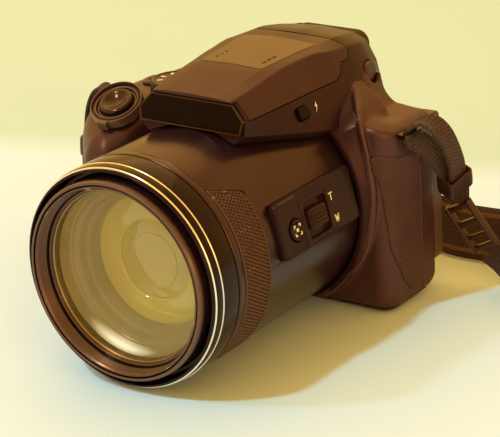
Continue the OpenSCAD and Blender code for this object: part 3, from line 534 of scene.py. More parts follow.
WR = [[-101.4, 6.4, 37], [-99.6, 6, 43], [-97, 5.4, 49], [-94.4, 4.8, 53.6], [-92.6, 4.4, 56], [-92.05, 4.2, 57.4], [-92.05, 4.2, 60.2],
      [-93.4, 4.2, 61.8], [-96.2, 4.4, 62.4], [-99.6, 4.8, 60], [-102.6, 5.2, 55], [-104.6, 5.6, 49], [-105.6, 5.8, 43], [-105.8, 6, 37], [-106, 6.4, 31], [-106.4, 7, 26]]
WRw = [[-0.1 - i * 0.02, 1, 0] for i in range(len(WR))]
NR = [[67.4, 25.3, 0, 9.5, 14.4], [71, 26.1, 0, 11, 12.2], [77, 26, 0, 17, 10.4], [84, 24.8, -4, 21, 0], [94, 23.4, -8, 21, 0], [106, 23, -10, 21, 0], [119, 25.6, -10, 21, 0],
      [129, 32.5, -10, 21, 0], [133, 42, -10, 21, 0], [129, 51.5, -12, 21, 0], [119, 56.4, -14, 21, 0], [106, 56.6, -16, 21, 0], [92, 54.6, -18, 21, 0],
      [78, 52.2, -20, 21, 0], [64, 50, -22, 21, 0], [52, 49, -26, 21, 0], [40, 49.6, -30, 21, 0], [26, 53, -24, 21, 0], [8, 57.5, -18, 21, 0],
      [-12, 60.5, -14, 21, 0], [-34, 62, -10, 21, 0], [-56, 64, -8, 21, 0], [-73, 69, -8, 21, 0], [-83, 78, -8, 21, 0], [-84, 90, -8, 21, 0],
      [-76, 99, -8, 21, 0], [-62, 103, -8, 21, 0], [-46, 105.5, -4, 21, 0], [-33, 111.5, 0, 21, 0], [-28, 122, 6, 21, 0], [-34, 132, 8, 21, 0],
      [-47, 137, 8, 21, 0], [-64, 138, 8, 21, 0], [-83, 134.5, 8, 21, 0], [-100, 125, 8, 21, 0], [-112, 110, 8, 21, 0], [-118.6, 92, 8, 21, 0],
      [-121, 72, 6, 21, 0], [-120.4, 52, 4, 21, 0], [-117, 33, 2, 18, 10], [-113.4, 20, 0, 12, 7.5], [-111, 13.6, 0, 9.5, 6]]


def weave(name, col, col2, along=1300.0, across=900.0, lines=None, line_col=None):
    """Woven band. UV: u is metres along, v is metres across from the middle."""
    m, nt, b = new_mat(name)
    uv = nt.nodes.new("ShaderNodeUVMap")
    uv.uv_map = "UVMap"
    sep = nt.nodes.new("ShaderNodeSeparateXYZ")
    nt.links.new(uv.outputs["UV"], sep.inputs[0])
    u, v = sep.outputs[0], sep.outputs[1]
    wu = math_node(nt, "SINE", math_node(nt, "MULTIPLY", u, along * math.pi))
    wv = math_node(nt, "SINE", math_node(nt, "MULTIPLY", v, across * math.pi))
    tw = math_node(nt, "MULTIPLY", wu, wv)
    h = math_node(nt, "ADD", math_node(nt, "MULTIPLY", tw, 0.5), math_node(nt, "MULTIPLY", math_node(nt, "ABSOLUTE", wv), 0.5))
    fuzz = noise(nt, coords(nt), 2600.0, 3.0, 0.65)
    h2 = math_node(nt, "ADD", h, math_node(nt, "MULTIPLY", fuzz, 0.35))
    c = mixc(nt, remap(nt, h2, 0.0, 1.0, -0.4, 1.2), col, col2)
    if lines:
        av = math_node(nt, "ABSOLUTE", v)
        band = None
        for lo, hi in lines:
            inside = math_node(nt, "MULTIPLY", math_node(nt, "GREATER_THAN", av, lo), math_node(nt, "LESS_THAN", av, hi))
            band = inside if band is None else math_node(nt, "MAXIMUM", band, inside)
        shade = mixc(nt, remap(nt, h2, 0.0, 1.0, -0.4, 1.2), tuple(x * 0.55 for x in line_col), line_col)
        c = mixc(nt, band, c, shade)
    nt.links.new(c, b.inputs["Base Color"])
    b.inputs["Roughness"].default_value = 0.72
    b.inputs["Specular IOR Level"].default_value = 0.25
    b.inputs["Sheen Weight"].default_value = 0.08
    bump(nt, b, h2, 0.95, 0.00045)
    return m


M["web"] = weave("webbing", (0.006, 0.0024, 0.0019), (0.078, 0.029, 0.020), 1150.0, 760.0)
M["strap"] = weave("strap_cloth", (0.012, 0.0048, 0.0042), (0.066, 0.027, 0.023), 1200.0, 1000.0,
                   lines=[(0.0066, 0.0082)], line_col=(0.17, 0.080, 0.048))


def band(name, P, W, width, thick, lip=0.0, dimple=None):
    """A woven band: rounded selvedges, flat faces, UVs in metres."""
    k = len(P)
    T = [unit(P[min(i + 1, k - 1)] - P[max(i - 1, 0)]) for i in range(k)]
    w2 = width if hasattr(width, "__len__") else [width] * k
    prof = []
    nx = 14
    for q in range(nx + 1):
        prof.append((-1 + 2 * q / nx, 1))
    for q in range(nx, -1, -1):
        prof.append((-1 + 2 * q / nx, -1))
    V, UV, s = [], [], 0.0
    for i in range(k):
        if i:
            s += np.linalg.norm(P[i] - P[i - 1])
        w = unit(np.array(W[i], float) - (np.array(W[i]) @ T[i]) * T[i])
        n = np.cross(T[i], w)
        hw = w2[i] / 2
        for a, side in prof:
            edge = max(0.0, (abs(a) - 0.86) / 0.14)
            t = thick / 2 * (1 - 0.45 * edge**2)
            if lip:
                t += lip * math.exp(-((abs(a) - 0.70) / 0.10) ** 2)
            V.append(P[i] + w * a * hw + n * side * t)
            UV.append((s * S, a * hw * S))
    m = len(prof)
    F = []
    for i in range(k - 1):
        for j in range(m):
            F.append((i * m + j, i * m + (j + 1) % m, (i + 1) * m + (j + 1) % m, (i + 1) * m + j))
    F.append(tuple(range(m)))
    F.append(tuple(reversed(range((k - 1) * m, k * m))))
    me = bpy.data.meshes.new(name)
    me.from_pydata([tuple(v * S) for v in V], [], F)
    lay = me.uv_layers.new(name="UVMap")
    for p in me.polygons:
        for li in p.loop_indices:
            lay.data[li].uv = UV[me.loops[li].vertex_index]
    bm = bmesh.new()
    bm.from_mesh(me)
    bmesh.ops.recalc_face_normals(bm, faces=bm.faces)
    bm.to_mesh(me)
    bm.free()
    ob = link(bpy.data.objects.new(name, me))
    smooth(ob, 50)
    return ob


PL, PLw = spline(WL, 5), spline(WLw, 5)
PR, PRw = spline(WR, 5), spline(WRw, 5)
web_l = piece(band("strap_webbing_left_woven", PL, PLw, 8.6, 1.4), "web", "body", "strap_webbing_left")
web_r = piece(band("strap_webbing_right_woven", PR, PRw, 8.6, 1.4), "web", "body", "strap_webbing_right")

nr = np.array(NR, float)
plan_pts = spline(nr[:, :2], 5)
lean = spline(nr[:, 2:3], 5)[:, 0]
wid = np.clip(spline(nr[:, 3:4], 5)[:, 0], 9.5, 21.0)
mid_z = []
for r in NR:
    hw = r[3] / 2
    mid_z.append(max(r[4], hw + 0.1) if r[4] > 0 else hw * math.cos(math.radians(r[2])) + 1.1 * abs(math.sin(math.radians(r[2]))) + 0.1)
mid_z = spline(np.array(mid_z)[:, None], 5)[:, 0]
NP, NW = [], []
for i in range(len(plan_pts)):
    a, b = plan_pts[max(i - 1, 0)], plan_pts[min(i + 1, len(plan_pts) - 1)]
    t = unit(b - a)
    an = math.radians(lean[i])
    low = wid[i] / 2 * math.cos(an) + 1.1 * abs(math.sin(an)) + 0.1
    NP.append((plan_pts[i][0], plan_pts[i][1], max(mid_z[i], low)))
    NW.append((-t[1] * math.sin(an), t[0] * math.sin(an), math.cos(an)))
NP, NW = np.array(NP), np.array(NW)
neck = piece(band("neck_strap_woven", NP, NW, list(wid), 2.2, lip=0.12), "strap", "body", "neck_strap")


def keeper(name, m):
    """Moulded square sleeve with a waist and chamfered mouths."""
    rings_o, rings_i = [], []
    for x, g in ((-4.2, -0.55), (-3.7, 0.0), (-1.2, 0.1), (1.2, 0.1), (3.7, 0.0), (4.2, -0.55)):
        rings_o.append([(x, a, b) for a, b in rrect(-6 - g, 6 + g, -4.2 - g, 4.2 + g, 1.7, 5)])
    for x, g in ((4.2, 0.35), (3.6, 0.0), (-3.6, 0.0), (-4.2, 0.35)):
        rings_i.append([(x, a, b) for a, b in rrect(-4.8 - g, 4.8 + g, -3.0 - g, 3.0 + g, 0.9, 5)])
    R = rings_o + rings_i
    n = len(R[0])
    V = [p for r in R for p in r]
    k = len(R)
    F = [(i * n + j, i * n + (j + 1) % n, ((i + 1) % k) * n + (j + 1) % n, ((i + 1) % k) * n + j) for i in range(k) for j in range(n)]
    ob = raw(name, V, F)
    smooth(ob, 40)
    return place(ob, m)


def buckle(name, m):
    """Ladder-lock: two rails, a front bar, a toothed bar and a lifted tail."""
    obs = []
    for s in (-1, 1):
        pts = [(-10.4, s * 5.2, 0.0), (-6, s * 5.25, 0.35), (0, s * 5.3, 0.5), (5, s * 5.25, 0.3), (10.4, s * 5.1, 0.0)]
        P = spline(pts, 5)
        rings = []
        for p in P:
            rings.append([(p[0], p[1] + a, p[2] + b) for a, b in rrect(-0.75, 0.75, -1.6, 1.6, 0.55, 4)])
        obs.append(loft("rail", rings))
    for x, w, t, z in ((-10.2, 2.4, 2.6, 0.0), (-3.2, 2.6, 2.6, 0.35), (3.6, 1.7, 1.9, -0.5), (8.1, 2.4, 2.6, 0.0)):
        rings = []
        for y in np.linspace(-5.2, 5.2, 9):
            bow = 0.25 * (1 - (y / 5.2) ** 2)
            rings.append([(x + a, y, z + b + bow) for a, b in rrect(0, w, -t / 2, t / 2, 0.6, 4)])
        obs.append(loft("bar", rings))
    for y in np.linspace(-4.2, 4.2, 7):
        tooth = prism("tooth", [(3.5, -1.2), (4.4, -2.0), (5.3, -1.2)], "xz", y - 0.35, y + 0.35)
        obs.append(tooth)
    ob = join(name, obs)
    smooth(ob, 40)
    return place(ob, m)


kl = piece(keeper("strap_keeper_left", frame_at((57.9, 17.2, 43.9), (-1.2, 2.6, -5), (0.25, 0.93, 0.25))), "dark", "body", "strap_hardware")
bl = piece(buckle("strap_buckle_left", frame_at((62.05, 22.5, 24.65), (9.5, 5, -17.3), (10.7, 0, 2.6))), "dark", "body", "strap_hardware")
kr = piece(keeper("strap_keeper_right", frame_at((-103.8, 6.2, 37.2), (-0.6, 0.3, -5), (-0.3, 1, 0.05))), "dark", "body", "strap_hardware")
br = piece(buckle("strap_buckle_right", frame_at((-108.3, 9.2, 16.4), (-3.8, 4.2, -19), (-0.4, 1, 0.2))), "dark", "body", "strap_hardware")

# ---------------------------------------------------------------- lens

# fixed barrel: a step line near the front, a shallow recess for the pad
barrel = lathe("lens_barrel_shell", rpoly([
    (14, 17.0, 0.3), (39.7, 17.0, 0.4), (39.75, 20, 1), (40.15, 60, 5), (40.3, 94.35, 0.1), (40.12, 94.5, 0.05), (40.12, 94.75, 0.05), (40.55, 94.9, 0.2), (40.58, 97.6, 0.25),
    (40.3, 97.9, 0.1), (38.4, 97.9, 0.2), (38.4, 20, 0.5), (14, 20, 0.3)], 3), 192)


def recess():
    """Space for the grip pad, slanted at its upper end; its corners fall on the barrel's own facets."""
    V, F = [], []
    A = np.arange(-27, 28) * 1.875
    for a in A:
        lo = 78.9 + max(0.0, a - 41.25) / 9.375 * 15.6
        for r, h in ((39.7, lo), (45, lo), (45, 94.55), (39.7, 94.55)):
            V.append((r * math.cos(math.radians(a)), -h, AZ + r * math.sin(math.radians(a))))
    for i in range(len(A) - 1):
        for q in range(4):
            w = (q + 1) % 4
            F.append((4 * i + q, 4 * i + w, 4 * i + 4 + w, 4 * i + 4 + q))
    m = 4 * len(A)
    F += [(0, 1, 2, 3), (m - 1, m - 2, m - 3, m - 4)]
    return raw("cut", V, F)


csg(barrel, recess())
side = Matrix.Translation((0, 0, AZ)) @ Matrix.Rotation(math.radians(-14), 4, "Y")
cut = place(prism("cut", rrect(-73.5, -24, -10.5, 10.5, 1.6), "yz", 38.9, 50), side)
csg(barrel, cut)
piece(smooth(barrel, 30), "barrel", "body", "lens_barrel")

ring = lathe("barrel_front_band", rpoly([
    (38.6, 97.9, 0.1), (39.6, 97.9, 0.1), (39.6, 98.35, 0.05), (40.35, 98.35, 0.2), (40.55, 98.9, 0.3), (40.52, 106.9, 0.1), (39.9, 107.0, 0.05), (39.9, 107.7, 0.05),
    (40.42, 107.8, 0.15), (40.2, 110.35, 0.1), (39.2, 110.4, 0.05), (39.2, 111.1, 0.05), (39.7, 111.15, 0.2), (39.4, 111.75, 0.3), (39.0, 111.9, 0.15), (38.6, 111.9, 0.1)], 3), 224)
piece(smooth(ring, 30), "gloss", "body", "barrel_front_ring")
t1 = lathe("trim_ring_thin_turned", rpoly([(39.9, 107.0, 0.05), (40.62, 107.02, 0.2), (40.62, 107.68, 0.2), (39.9, 107.7, 0.05)], 4), 224)
piece(smooth(t1, 40), "gold", "body", "trim_ring_thin")
t2 = lathe("trim_ring_bright_turned", rpoly([(39.2, 110.4, 0.05), (40.12, 110.42, 0.2), (40.1, 110.85, 0.2), (39.85, 111.05, 0.1), (39.2, 111.1, 0.05)], 4), 224)
piece(smooth(t2, 40), "gold", "body", "trim_ring_bright")

# knurled grip pad: crossed grooves cut into a curved strip, inside a plain border
def knurl_pad():
    a0, a1, h0, h1 = -50.1, 50.2, 79.1, 94.35
    na, nh = 420, 96
    A, H = np.linspace(a0, a1, na), np.linspace(h0, h1, nh)
    V, F = [], []
    border = 1.05
    for a in A:
        arc = math.radians(a) * 41.0
        for h in H:
            # slanted upper end with a rounded corner at the rear
            da = (29.518 - arc) * 0.9187 + (h - 78.9) * 0.3951 - 0.35
            dh = h - h0
            near = min(da, dh, h1 - h, (a - a0) / 180 * math.pi * 41)
            if da < 3.6 and dh < 3.6:
                near = min(near, 3.6 - math.hypot(3.6 - da, 3.6 - dh))
            r = 40.72
            if near > border:
                p = 1.25
                g1 = abs(math.sin(math.pi * (arc * 0.86 + h * 0.52) / p))
                g2 = abs(math.sin(math.pi * (arc * 0.86 - h * 0.52) / p))
                f = min(1.0, (near - border) / 0.3)
                r = 40.15 + 0.75 * f * (g1 * g2) ** 0.7
            elif near > 0:
                r = 40.25 + 0.55 * math.sin(min(1.0, near / 0.35) * math.pi / 2) * (1.0 if near < border - 0.25 else 0.55 + 0.45 * (border - near) / 0.25)
            else:
                r = 39.75
            V.append((r * math.cos(math.radians(a)), -h, AZ + r * math.sin(math.radians(a))))
    for i in range(na - 1):
        for j in range(nh - 1):
            F.append((i * nh + j, i * nh + j + 1, (i + 1) * nh + j + 1, (i + 1) * nh + j))
    base = len(V)
    for a in A:
        for h in (h0, h1):
            V.append((39.7 * math.cos(math.radians(a)), -h, AZ + 39.7 * math.sin(math.radians(a))))
    for i in range(na - 1):
        b0, b1 = base + 2 * i, base + 2 * (i + 1)
        F.append((i * nh, (i + 1) * nh, b1, b0))
        F.append((i * nh + nh - 1, b0 + 1, b1 + 1, (i + 1) * nh + nh - 1))
        F.append((b0, b1, b1 + 1, b0 + 1))
    F.append(tuple([base] + list(range(0, nh))[0:0] + [j for j in range(nh)] + [base + 1]))
    F.append(tuple([base + 2 * (na - 1) + 1] + [(na - 1) * nh + j for j in range(nh - 1, -1, -1)] + [base + 2 * (na - 1)]))
    return raw("barrel_grip_knurled", V, F)


piece(smooth(knurl_pad(), 60), "knurl", "body", "barrel_grip_pad")

# two zoom tubes
tube1 = lathe("zoom_tube_outer_turned", rpoly([(36.65, 28, 0.1), (38.1, 28, 0.1), (38.1, 103.6, 0.05), (37.95, 103.75, 0.05), (37.95, 104.3, 0.05), (38.1, 104.45, 0.05), (38.1, 105.9, 0.3), (36.65, 106, 0.3)], 3), 192)
piece(smooth(tube1, 30), "dark", "lens_stage_1", "zoom_tube_outer")
tube2 = lathe("zoom_tube_inner_turned", rpoly([(18.2, 79, 0.2), (18.2, 83, 0.3), (34.4, 83, 0.5), (34.4, 94, 0.2), (32, 94, 0.2), (32, 96.6, 0.2), (34.4, 96.6, 0.2),
                                               (34.4, 113, 0.1), (36.3, 113, 0.1), (36.3, 30, 0.2), (34.4, 30, 0.2), (34.4, 79, 0.2)], 3), 192)
piece(smooth(tube2, 30), "barrel", "lens_stage_2", "zoom_tube_inner")

# front rim with its thread, the stepped light baffle and the retaining ring
prof = [(31.0, 100.6, 0.1), (34.4, 100.6, 0.1), (34.4, 113.0, 0.05), (36.3, 113.0, 0.1), (36.32, 113.9, 0.4), (35.85, 114.95, 0.45), (35.05, 115.0, 0.25), (34.8, 114.25, 0.1),
        (34.4, 114.25, 0.1), (34.25, 114.75, 0.15), (33.95, 114.7, 0.1)]
for k in range(4):
    h = 114.05 - k * 0.98
    prof += [(33.3 - 0.03 * k, h, 0.06), (33.86 - 0.03 * k, h - 0.5, 0.06)]
prof += [(33.1, 110.1, 0.1), (32.6, 109.95, 0.1), (32.5, 109.2, 0.08), (31.95, 109.1, 0.08), (31.85, 108.3, 0.08), (31.4, 108.2, 0.08), (31.0, 107.3, 0.1)]
rim = lathe("filter_ring_threaded", rpoly(prof, 2), 224)
piece(smooth(rim, 24), "rim", "lens_stage_2", "filter_ring")
# the grooves beside the lip and below the thread are given the near-black badge colour: painted shade in the grooves
rim.data.materials.append(M["badge"])
for f in rim.data.polygons:
    r, h = math.hypot(f.center[0], f.center[2] - AZ * S) / S, -f.center[1] / S
    if (34.35 < r < 34.95 and 113.9 < h < 114.7) or (32.4 < r < 33.25 and 109.1 < h < 110.4):
        f.material_index = 1


def coated(name, col, alpha, rough=0.03, spec=0.9, painted_glow=0.0, mottle=14.0, coat=0.8, painted_highlight=None):
    """Coated glass: faint change of tone, dust, polish. The glow strength is painted light: emission that lights the
    inside evenly where the rim's shadow falls. The last argument paints a pale highlight crescent where the lamp's
    reflection lies on the lower inside wall.
    """
    m, nt, b = new_mat(name)
    v = coords(nt)
    n = noise(nt, v, mottle, 3.0, 0.5, 0.6)
    d = noise(nt, v, 2600.0, 2.0, 0.5)
    c = ramp(nt, n, [(0.25, tuple(x * 0.86 for x in col)), (0.75, tuple(min(1.0, x * 1.12) for x in col))])
    # painted highlight: a pale crescent on the lower inside wall where the lamp's reflection lies
    if painted_highlight:
        at, along, half, highlight_col = painted_highlight
        sx = nt.nodes.new("ShaderNodeSeparateXYZ")
        nt.links.new(v, sx.inputs[0])
        off = [math_node(nt, "SUBTRACT", sx.outputs[k], at[k] * S) for k in range(3)]
        t = math_node(nt, "ADD", math_node(nt, "MULTIPLY", off[0], along[0] / (half[0] * S)), math_node(nt, "MULTIPLY", off[2], along[1] / (half[0] * S)))
        u = math_node(nt, "MULTIPLY", off[1], 1.0 / (half[1] * S))
        far = math_node(nt, "SQRT", math_node(nt, "ADD", math_node(nt, "MULTIPLY", t, t), math_node(nt, "MULTIPLY", u, u)))
        keep = math_node(nt, "MULTIPLY", remap(nt, far, 1.0, 0.0, 0.25, 1.0), math_node(nt, "GREATER_THAN", math_node(nt, "SUBTRACT", AZ * S, sx.outputs[2]), 0.0))
        c = mixc(nt, keep, c, highlight_col)
    nt.links.new(c, b.inputs["Base Color"])
    nt.links.new(remap(nt, d, rough, rough + 0.05, 0.55, 0.8), b.inputs["Roughness"])
    b.inputs["Alpha"].default_value = alpha
    b.inputs["IOR"].default_value = 1.6
    b.inputs["Specular IOR Level"].default_value = spec
    b.inputs["Coat Weight"].default_value = coat
    b.inputs["Coat Roughness"].default_value = 0.02
    if painted_glow:
        nt.links.new(c, b.inputs["Emission Color"])
        b.inputs["Emission Strength"].default_value = painted_glow
    bump(nt, b, d, 0.02, 0.00001)
    return m


M["lens"] = coated("lens_coating", (0.42, 0.37, 0.12), 0.10, 0.02, 0.5)
# inner glass: the glow on it and on the next glass is painted light, emission that evens out the rim's shadow
M["lens2"] = coated("inner_lens", (0.345, 0.255, 0.048), 1.0, 0.12, 0.35, 0.42)
M["lens3"] = coated("inner_lens_deep", (0.295, 0.215, 0.040), 1.0, 0.10, 0.35, 0.42)
M["seat"] = metal("seat_ring", (0.36, 0.27, 0.14), (0.27, 0.20, 0.10), 0.30, 2500.0, "Y")
M["eyeglass"] = coated("eyepiece_glass", (0.05, 0.05, 0.06), 0.7)
# inside of the lens: painted glow, and a painted highlight crescent on the lower wall
M["baffle"] = coated("lens_inside", (0.19, 0.125, 0.040), 1.0, 0.30, 0.3, 0.33, 60.0, 0.0, ((-8.0, -103.3, 12.4), (0.956, -0.292), (15.0, 3.0), (1.0, 0.93, 0.70)))

seat = lathe("glass_seat_ring", rpoly([(30.95, 106.9, 0.1), (31.25, 107.0, 0.1), (31.7, 108.15, 0.15), (31.45, 108.4, 0.15), (31.05, 108.1, 0.2)], 3), 192)
piece(smooth(seat, 40), "seat", "lens_stage_2")
R = 130.0
front = [(r, 110.9 - R + math.sqrt(R * R - r * r)) for r in np.linspace(0, 31.2, 26)]
back = [(r, 104.6 + 1.2 * (r / 31) ** 2) for r in np.linspace(31.2, 0, 14)]
el = lathe("front_element_ground", [(max(r, 0.0), h) for r, h in front] + back, 160)
piece(smooth(el, 40), "lens", "lens_stage_2", "front_element")
front = [(r, 87.4 - 40 + math.sqrt(1600 - r * r)) for r in np.linspace(0, 17.8, 18)]
back = [(r, 77 + 2 * (r / 17.5) ** 2) for r in np.linspace(17.5, 0, 10)]
el = lathe("second_group_ground", front + [(18.2, 83.0), (18.2, 79.0)] + back, 128)
piece(smooth(el, 40), "lens2", "lens_stage_2", "second_group")
# stepped tube behind the front glass, then the inner glass in its rings
inner = lathe("inner_tube_stepped", rpoly([
    (30.8, 105.4, 0.1), (29.7, 101.4, 0.3), (29.2, 101.2, 0.2), (28.9, 100.2, 0.3), (28.4, 99.7, 0.2), (27.0, 99.5, 0.3), (26.4, 96.4, 0.3), (25.0, 96.1, 0.3), (23.9, 93.2, 0.3),
    (23.9, 91.2, 0.1), (31.6, 91.2, 0.2), (31.6, 93.8, 0.2), (31.0, 97, 0.2), (31.0, 105.4, 0.1)], 3), 144)
piece(smooth(inner, 30), "baffle", "lens_stage_2")
eye = lathe("inner_glass_ring", rpoly([(14.9, 92.4, 0.1), (15.2, 92.1, 0.3), (19, 91.95, 3), (24.4, 91.3, 0.2), (24.4, 90.2, 0.1), (14.5, 90.2, 0.1), (14.5, 91.9, 0.1)], 4), 144)
piece(smooth(eye, 30), "lens2", "lens_stage_2")
eye = lathe("inner_glass_middle", [(0.0, 92.9), (4, 92.8), (8, 92.5), (9.5, 92.3), (9.6, 92.5), (10.2, 92.45), (10.3, 92.1), (12.4, 91.7), (14.2, 91.2), (14.3, 90.4), (0.0, 90.4)], 144)
piece(smooth(eye, 25), "lens3", "lens_stage_2")

# ---------------------------------------------------------------- hump, flash lid, badge

HY = [-72, -64, -52, -40, -28, -16, -8, 2, 12, 21]
HA = [91.7, 93.5, 95.6, 97.6, 98.0, 98.4, 98.6, 98.7, 97.2, 95.2]
HBx = [11.5, 12, 12.5, 13, 14.1, 15.4, 16.6, 16.6, 15.5, 13.5]
HBz = [91.5, 93.2, 95.2, 97.1, 97.4, 97.7, 97.6, 97.6, 96.3, 94.4]
HCx = [15.6, 16.6, 17.9, 18.1, 18.8, 20.4, 22.0, 22.4, 21.6, 19]
HCz = [91.1, 92.8, 94.3, 95.7, 96.8, 97.0, 95.9, 95.0, 93.8, 92.2]
HDx = [21.6, 22.2, 23.1, 23.8, 24.4, 25, 25.6, 26, 25.6, 23.2]
HDz = [87.0, 86.9, 86.3, 86, 85.8, 86, 86, 86, 85.5, 85]
HEx = [21.2, 22.6, 25.6, 28.5, 31.3, 33, 33.5, 34, 31.5, 26.5]
HEz = [82, 80.8, 78.2, 75.7, 73.2, 72, 72, 72, 72, 72]


def hump_ring(y):
    f = lambda t: pchip(HY, t, y)
    half = [(f(HBx), f(HBz), 3.0), (f(HCx), f(HCz), 2.0), (f(HDx), f(HDz), 3.5), (f(HEx), f(HEz), 0.9), (f(HEx) - 7, f(HEz) - 5.5, 1.0)]
    P = [(0.0, f(HA), 60.0)] + half + [(-a, b, r) for a, b, r in reversed(half)]
    return [(p[0], y, p[1]) for p in rpoly(P, 5)]


def hump(name):
    return loft(name, [hump_ring(y) for y in np.linspace(-72, 21, 94)])


def lid_poly(g):
    pts = [(-61.8 - g, 86.1 - g), (-11 + g * 0.7, 86.1 - g), (-9.2 + g * 0.8, 86.6 - g * 0.8), (-7 + g, 88 - g * 0.6), (-4.7 + g, 91 - g * 0.3), (-2.4 + g, 94.9),
           (-2.4 + g, 104), (-80, 104), (-80, 92.35 - g), (-61.8 - g, 92.35 - g)]
    return pts


def lid_zone(g):
    a = prism("zone", lid_poly(g), "yz", -60, 60)
    t = np.linspace(0, 2 * math.pi, 48, endpoint=False)
    b = prism("pin", [(-2.4 + (3.8 + g) * math.cos(q), 94.9 + (3.8 + g) * math.sin(q)) for q in t], "yz", -59.9, 59.9)
    return csg(a, b, "UNION")


badge_m = Matrix.Translation((0, -67.1, 81.8)) @ rotx(-12.3)
BADGE = [(-21.4, 0), (21.4, 0), (22.3, 4.8), (17.3, 10.3), (-17.3, 10.3), (-22.3, 4.8)]


def block(x0, x1, y0, y1, z0, z1):
    return prism("block", [(x0, y0), (x1, y0), (x1, y1), (x0, y1)], "xy", z0, z1)


def rodx(y, z, x0, x1, r, n=40):
    return prism("rod", [(y + r * math.cos(a), z + r * math.sin(a)) for a in np.linspace(0, 2 * math.pi, n, endpoint=False)], "yz", x0, x1)


def rodz(x, y, z0, z1, r, n=48):
    return prism("rod", [(x + r * math.cos(a), y + r * math.sin(a)) for a in np.linspace(0, 2 * math.pi, n, endpoint=False)], "xy", z0, z1)


def rody(x, z, y0, y1, r, n=48):
    return prism("rod", [(x + r * math.cos(a), z + r * math.sin(a)) for a in np.linspace(0, 2 * math.pi, n, endpoint=False)], "xz", y0, y1)


flash_m = Matrix.Translation((26.8, -34.9, 81.3)) @ Matrix.Rotation(math.radians(-26.6), 4, "Y")

house = hump("finder_housing")
csg(house, place(block(-40, 40, -30, 2, -20, 60), badge_m))
csg(house, block(-60, 60, 16, 40, 40, 72.2))
csg(house, lathe("cut", [(0, 10), (41, 10), (41, 100), (0, 100)], 128))
csg(house, lid_zone(0.35))
csg(house, place(prism("cut", rrect(-3.5, 3.5, -2.55, 2.55, 1.4), "yz", -2.6, 6), flash_m))
csg(house, rodx(11.5, 83.5, 23.1, 40, 4.2))
csg(house, block(-10.5, 10.5, 3.2, 30, 80, 92))
# the housing takes the darker housing colour: painted shade on the hump's sides
piece(smooth(house, 28), "house", "body", "top_cover")

lid = hump("flash_lid_shell")
csg(lid, lid_zone(0.0), "INTERSECT")
csg(lid, place(block(-40, 40, -30, 0.3, -20, 60), badge_m))
csg(lid, place(prism("cut", [(a * 1.02, b + (0.4 if b > 9 else -0.4)) for a, b in BADGE], "xz", -20, 2.8), badge_m))
csg(lid, block(-17.5, 17.5, -59, -9, 80, 93))
csg(lid, rodx(-2.4, 94.9, -14.6, 14.6, 1.27))
for x in (-11, 8):
    csg(lid, rodx(-2.4, 94.9, x - 0.5, x + 3.5, 2.3))
    csg(lid, block(x - 0.5, x + 3.5, -4.9, 3, 84, 94.9))
piece(smooth(lid, 28), "lid", "flash", "flash_lid")

# badge: a bare polished plate with a thin bronze edge
plate = prism("badge_plate_bare", [(-20.6, 0.7), (20.6, 0.7), (21.4, 4.75), (16.9, 9.7), (-16.9, 9.7), (-21.4, 4.75)], "xz", 0.0, 1.2)
place(plate, badge_m)
piece(bevel(plate, 0.35, 3), "badge", "body", "badge_plate")
rimp = prism("badge_edge", BADGE, "xz", 0.35, 2.0)
hole = prism("hole", [(-20.8, 0.55), (20.8, 0.55), (21.55, 4.75), (17.0, 9.85), (-17.0, 9.85), (-21.55, 4.75)], "xz", -1, 0.9)
csg(rimp, hole)
place(rimp, badge_m)
piece(smooth(rimp, 25), "edge", "body")

# plate let into the lid, with a row of dots and a row of dashes; its lighter colour is a painted reflection of light on
# the lid's top
def top_z(x, y):
    R = np.array(hump_ring(y))
    up = R[R[:, 2] > 88]
    o = np.argsort(up[:, 0])
    return float(np.interp(x, up[o, 0], up[o, 2]))


def top_patch(name, outline, thick, lift=0.0, step=1.0):
    """A thin plate that follows the lid's top. outline gives the half width at each y."""
    ys = np.arange(outline[0][0], outline[-1][0] + 0.01, step)
    V, F = [], []
    nx = 12
    for side in (0, 1):
        for y in ys:
            hw = np.interp(y, [o[0] for o in outline], [o[1] for o in outline])
            for i in range(nx + 1):
                x = -hw + 2 * hw * i / nx
                V.append((x, y, top_z(x, y) + lift + (thick if side == 0 else -0.6)))
    n, k = nx + 1, len(ys)
    for j in range(k - 1):
        for i in range(nx):
            a = j * n + i
            F.append((a, a + 1, a + n + 1, a + n))
            b = k * n + a
            F.append((b, b + n, b + n + 1, b + 1))
    ringi = [i for i in range(n)] + [j * n + n - 1 for j in range(1, k)] + [(k - 1) * n + i for i in range(n - 2, -1, -1)] + [j * n for j in range(k - 2, 0, -1)]
    for a, b in zip(ringi, ringi[1:] + ringi[:1]):
        F.append((a, k * n + a, k * n + b, b))
    return raw(name, V, F)


tp = top_patch("lid_top_plate", [(-40, 12.6), (-38.5, 13.2), (-24, 14.3), (-9, 15.6), (-7.8, 14.6)], 0.12)
piece(smooth(tp, 40), "plate", "flash")


def mark(name, x, y, w, l, mat, body, h=0.14):
    z = top_z(x, y)
    o = prism(name, rrect(x - w / 2, x + w / 2, y - l / 2, y + l / 2, min(w, l) * 0.45, 3), "xy", z - 0.3, z + h)
    return o


dots = [mark("d", -9.6, y, 1.3, 1.3, None, None, 0.17) for y in (-34.5, -31.5, -28.5)]
piece(smooth(join("lid_mic_dots_left", dots), 40), "badge", "flash")
dash = [mark("d", 10.2, y, 1.15, 2.3, None, None, 0.17) for y in (-33.5, -30.3, -27.1)]
piece(smooth(join("lid_mic_slots_right", dash), 40), "badge", "flash")

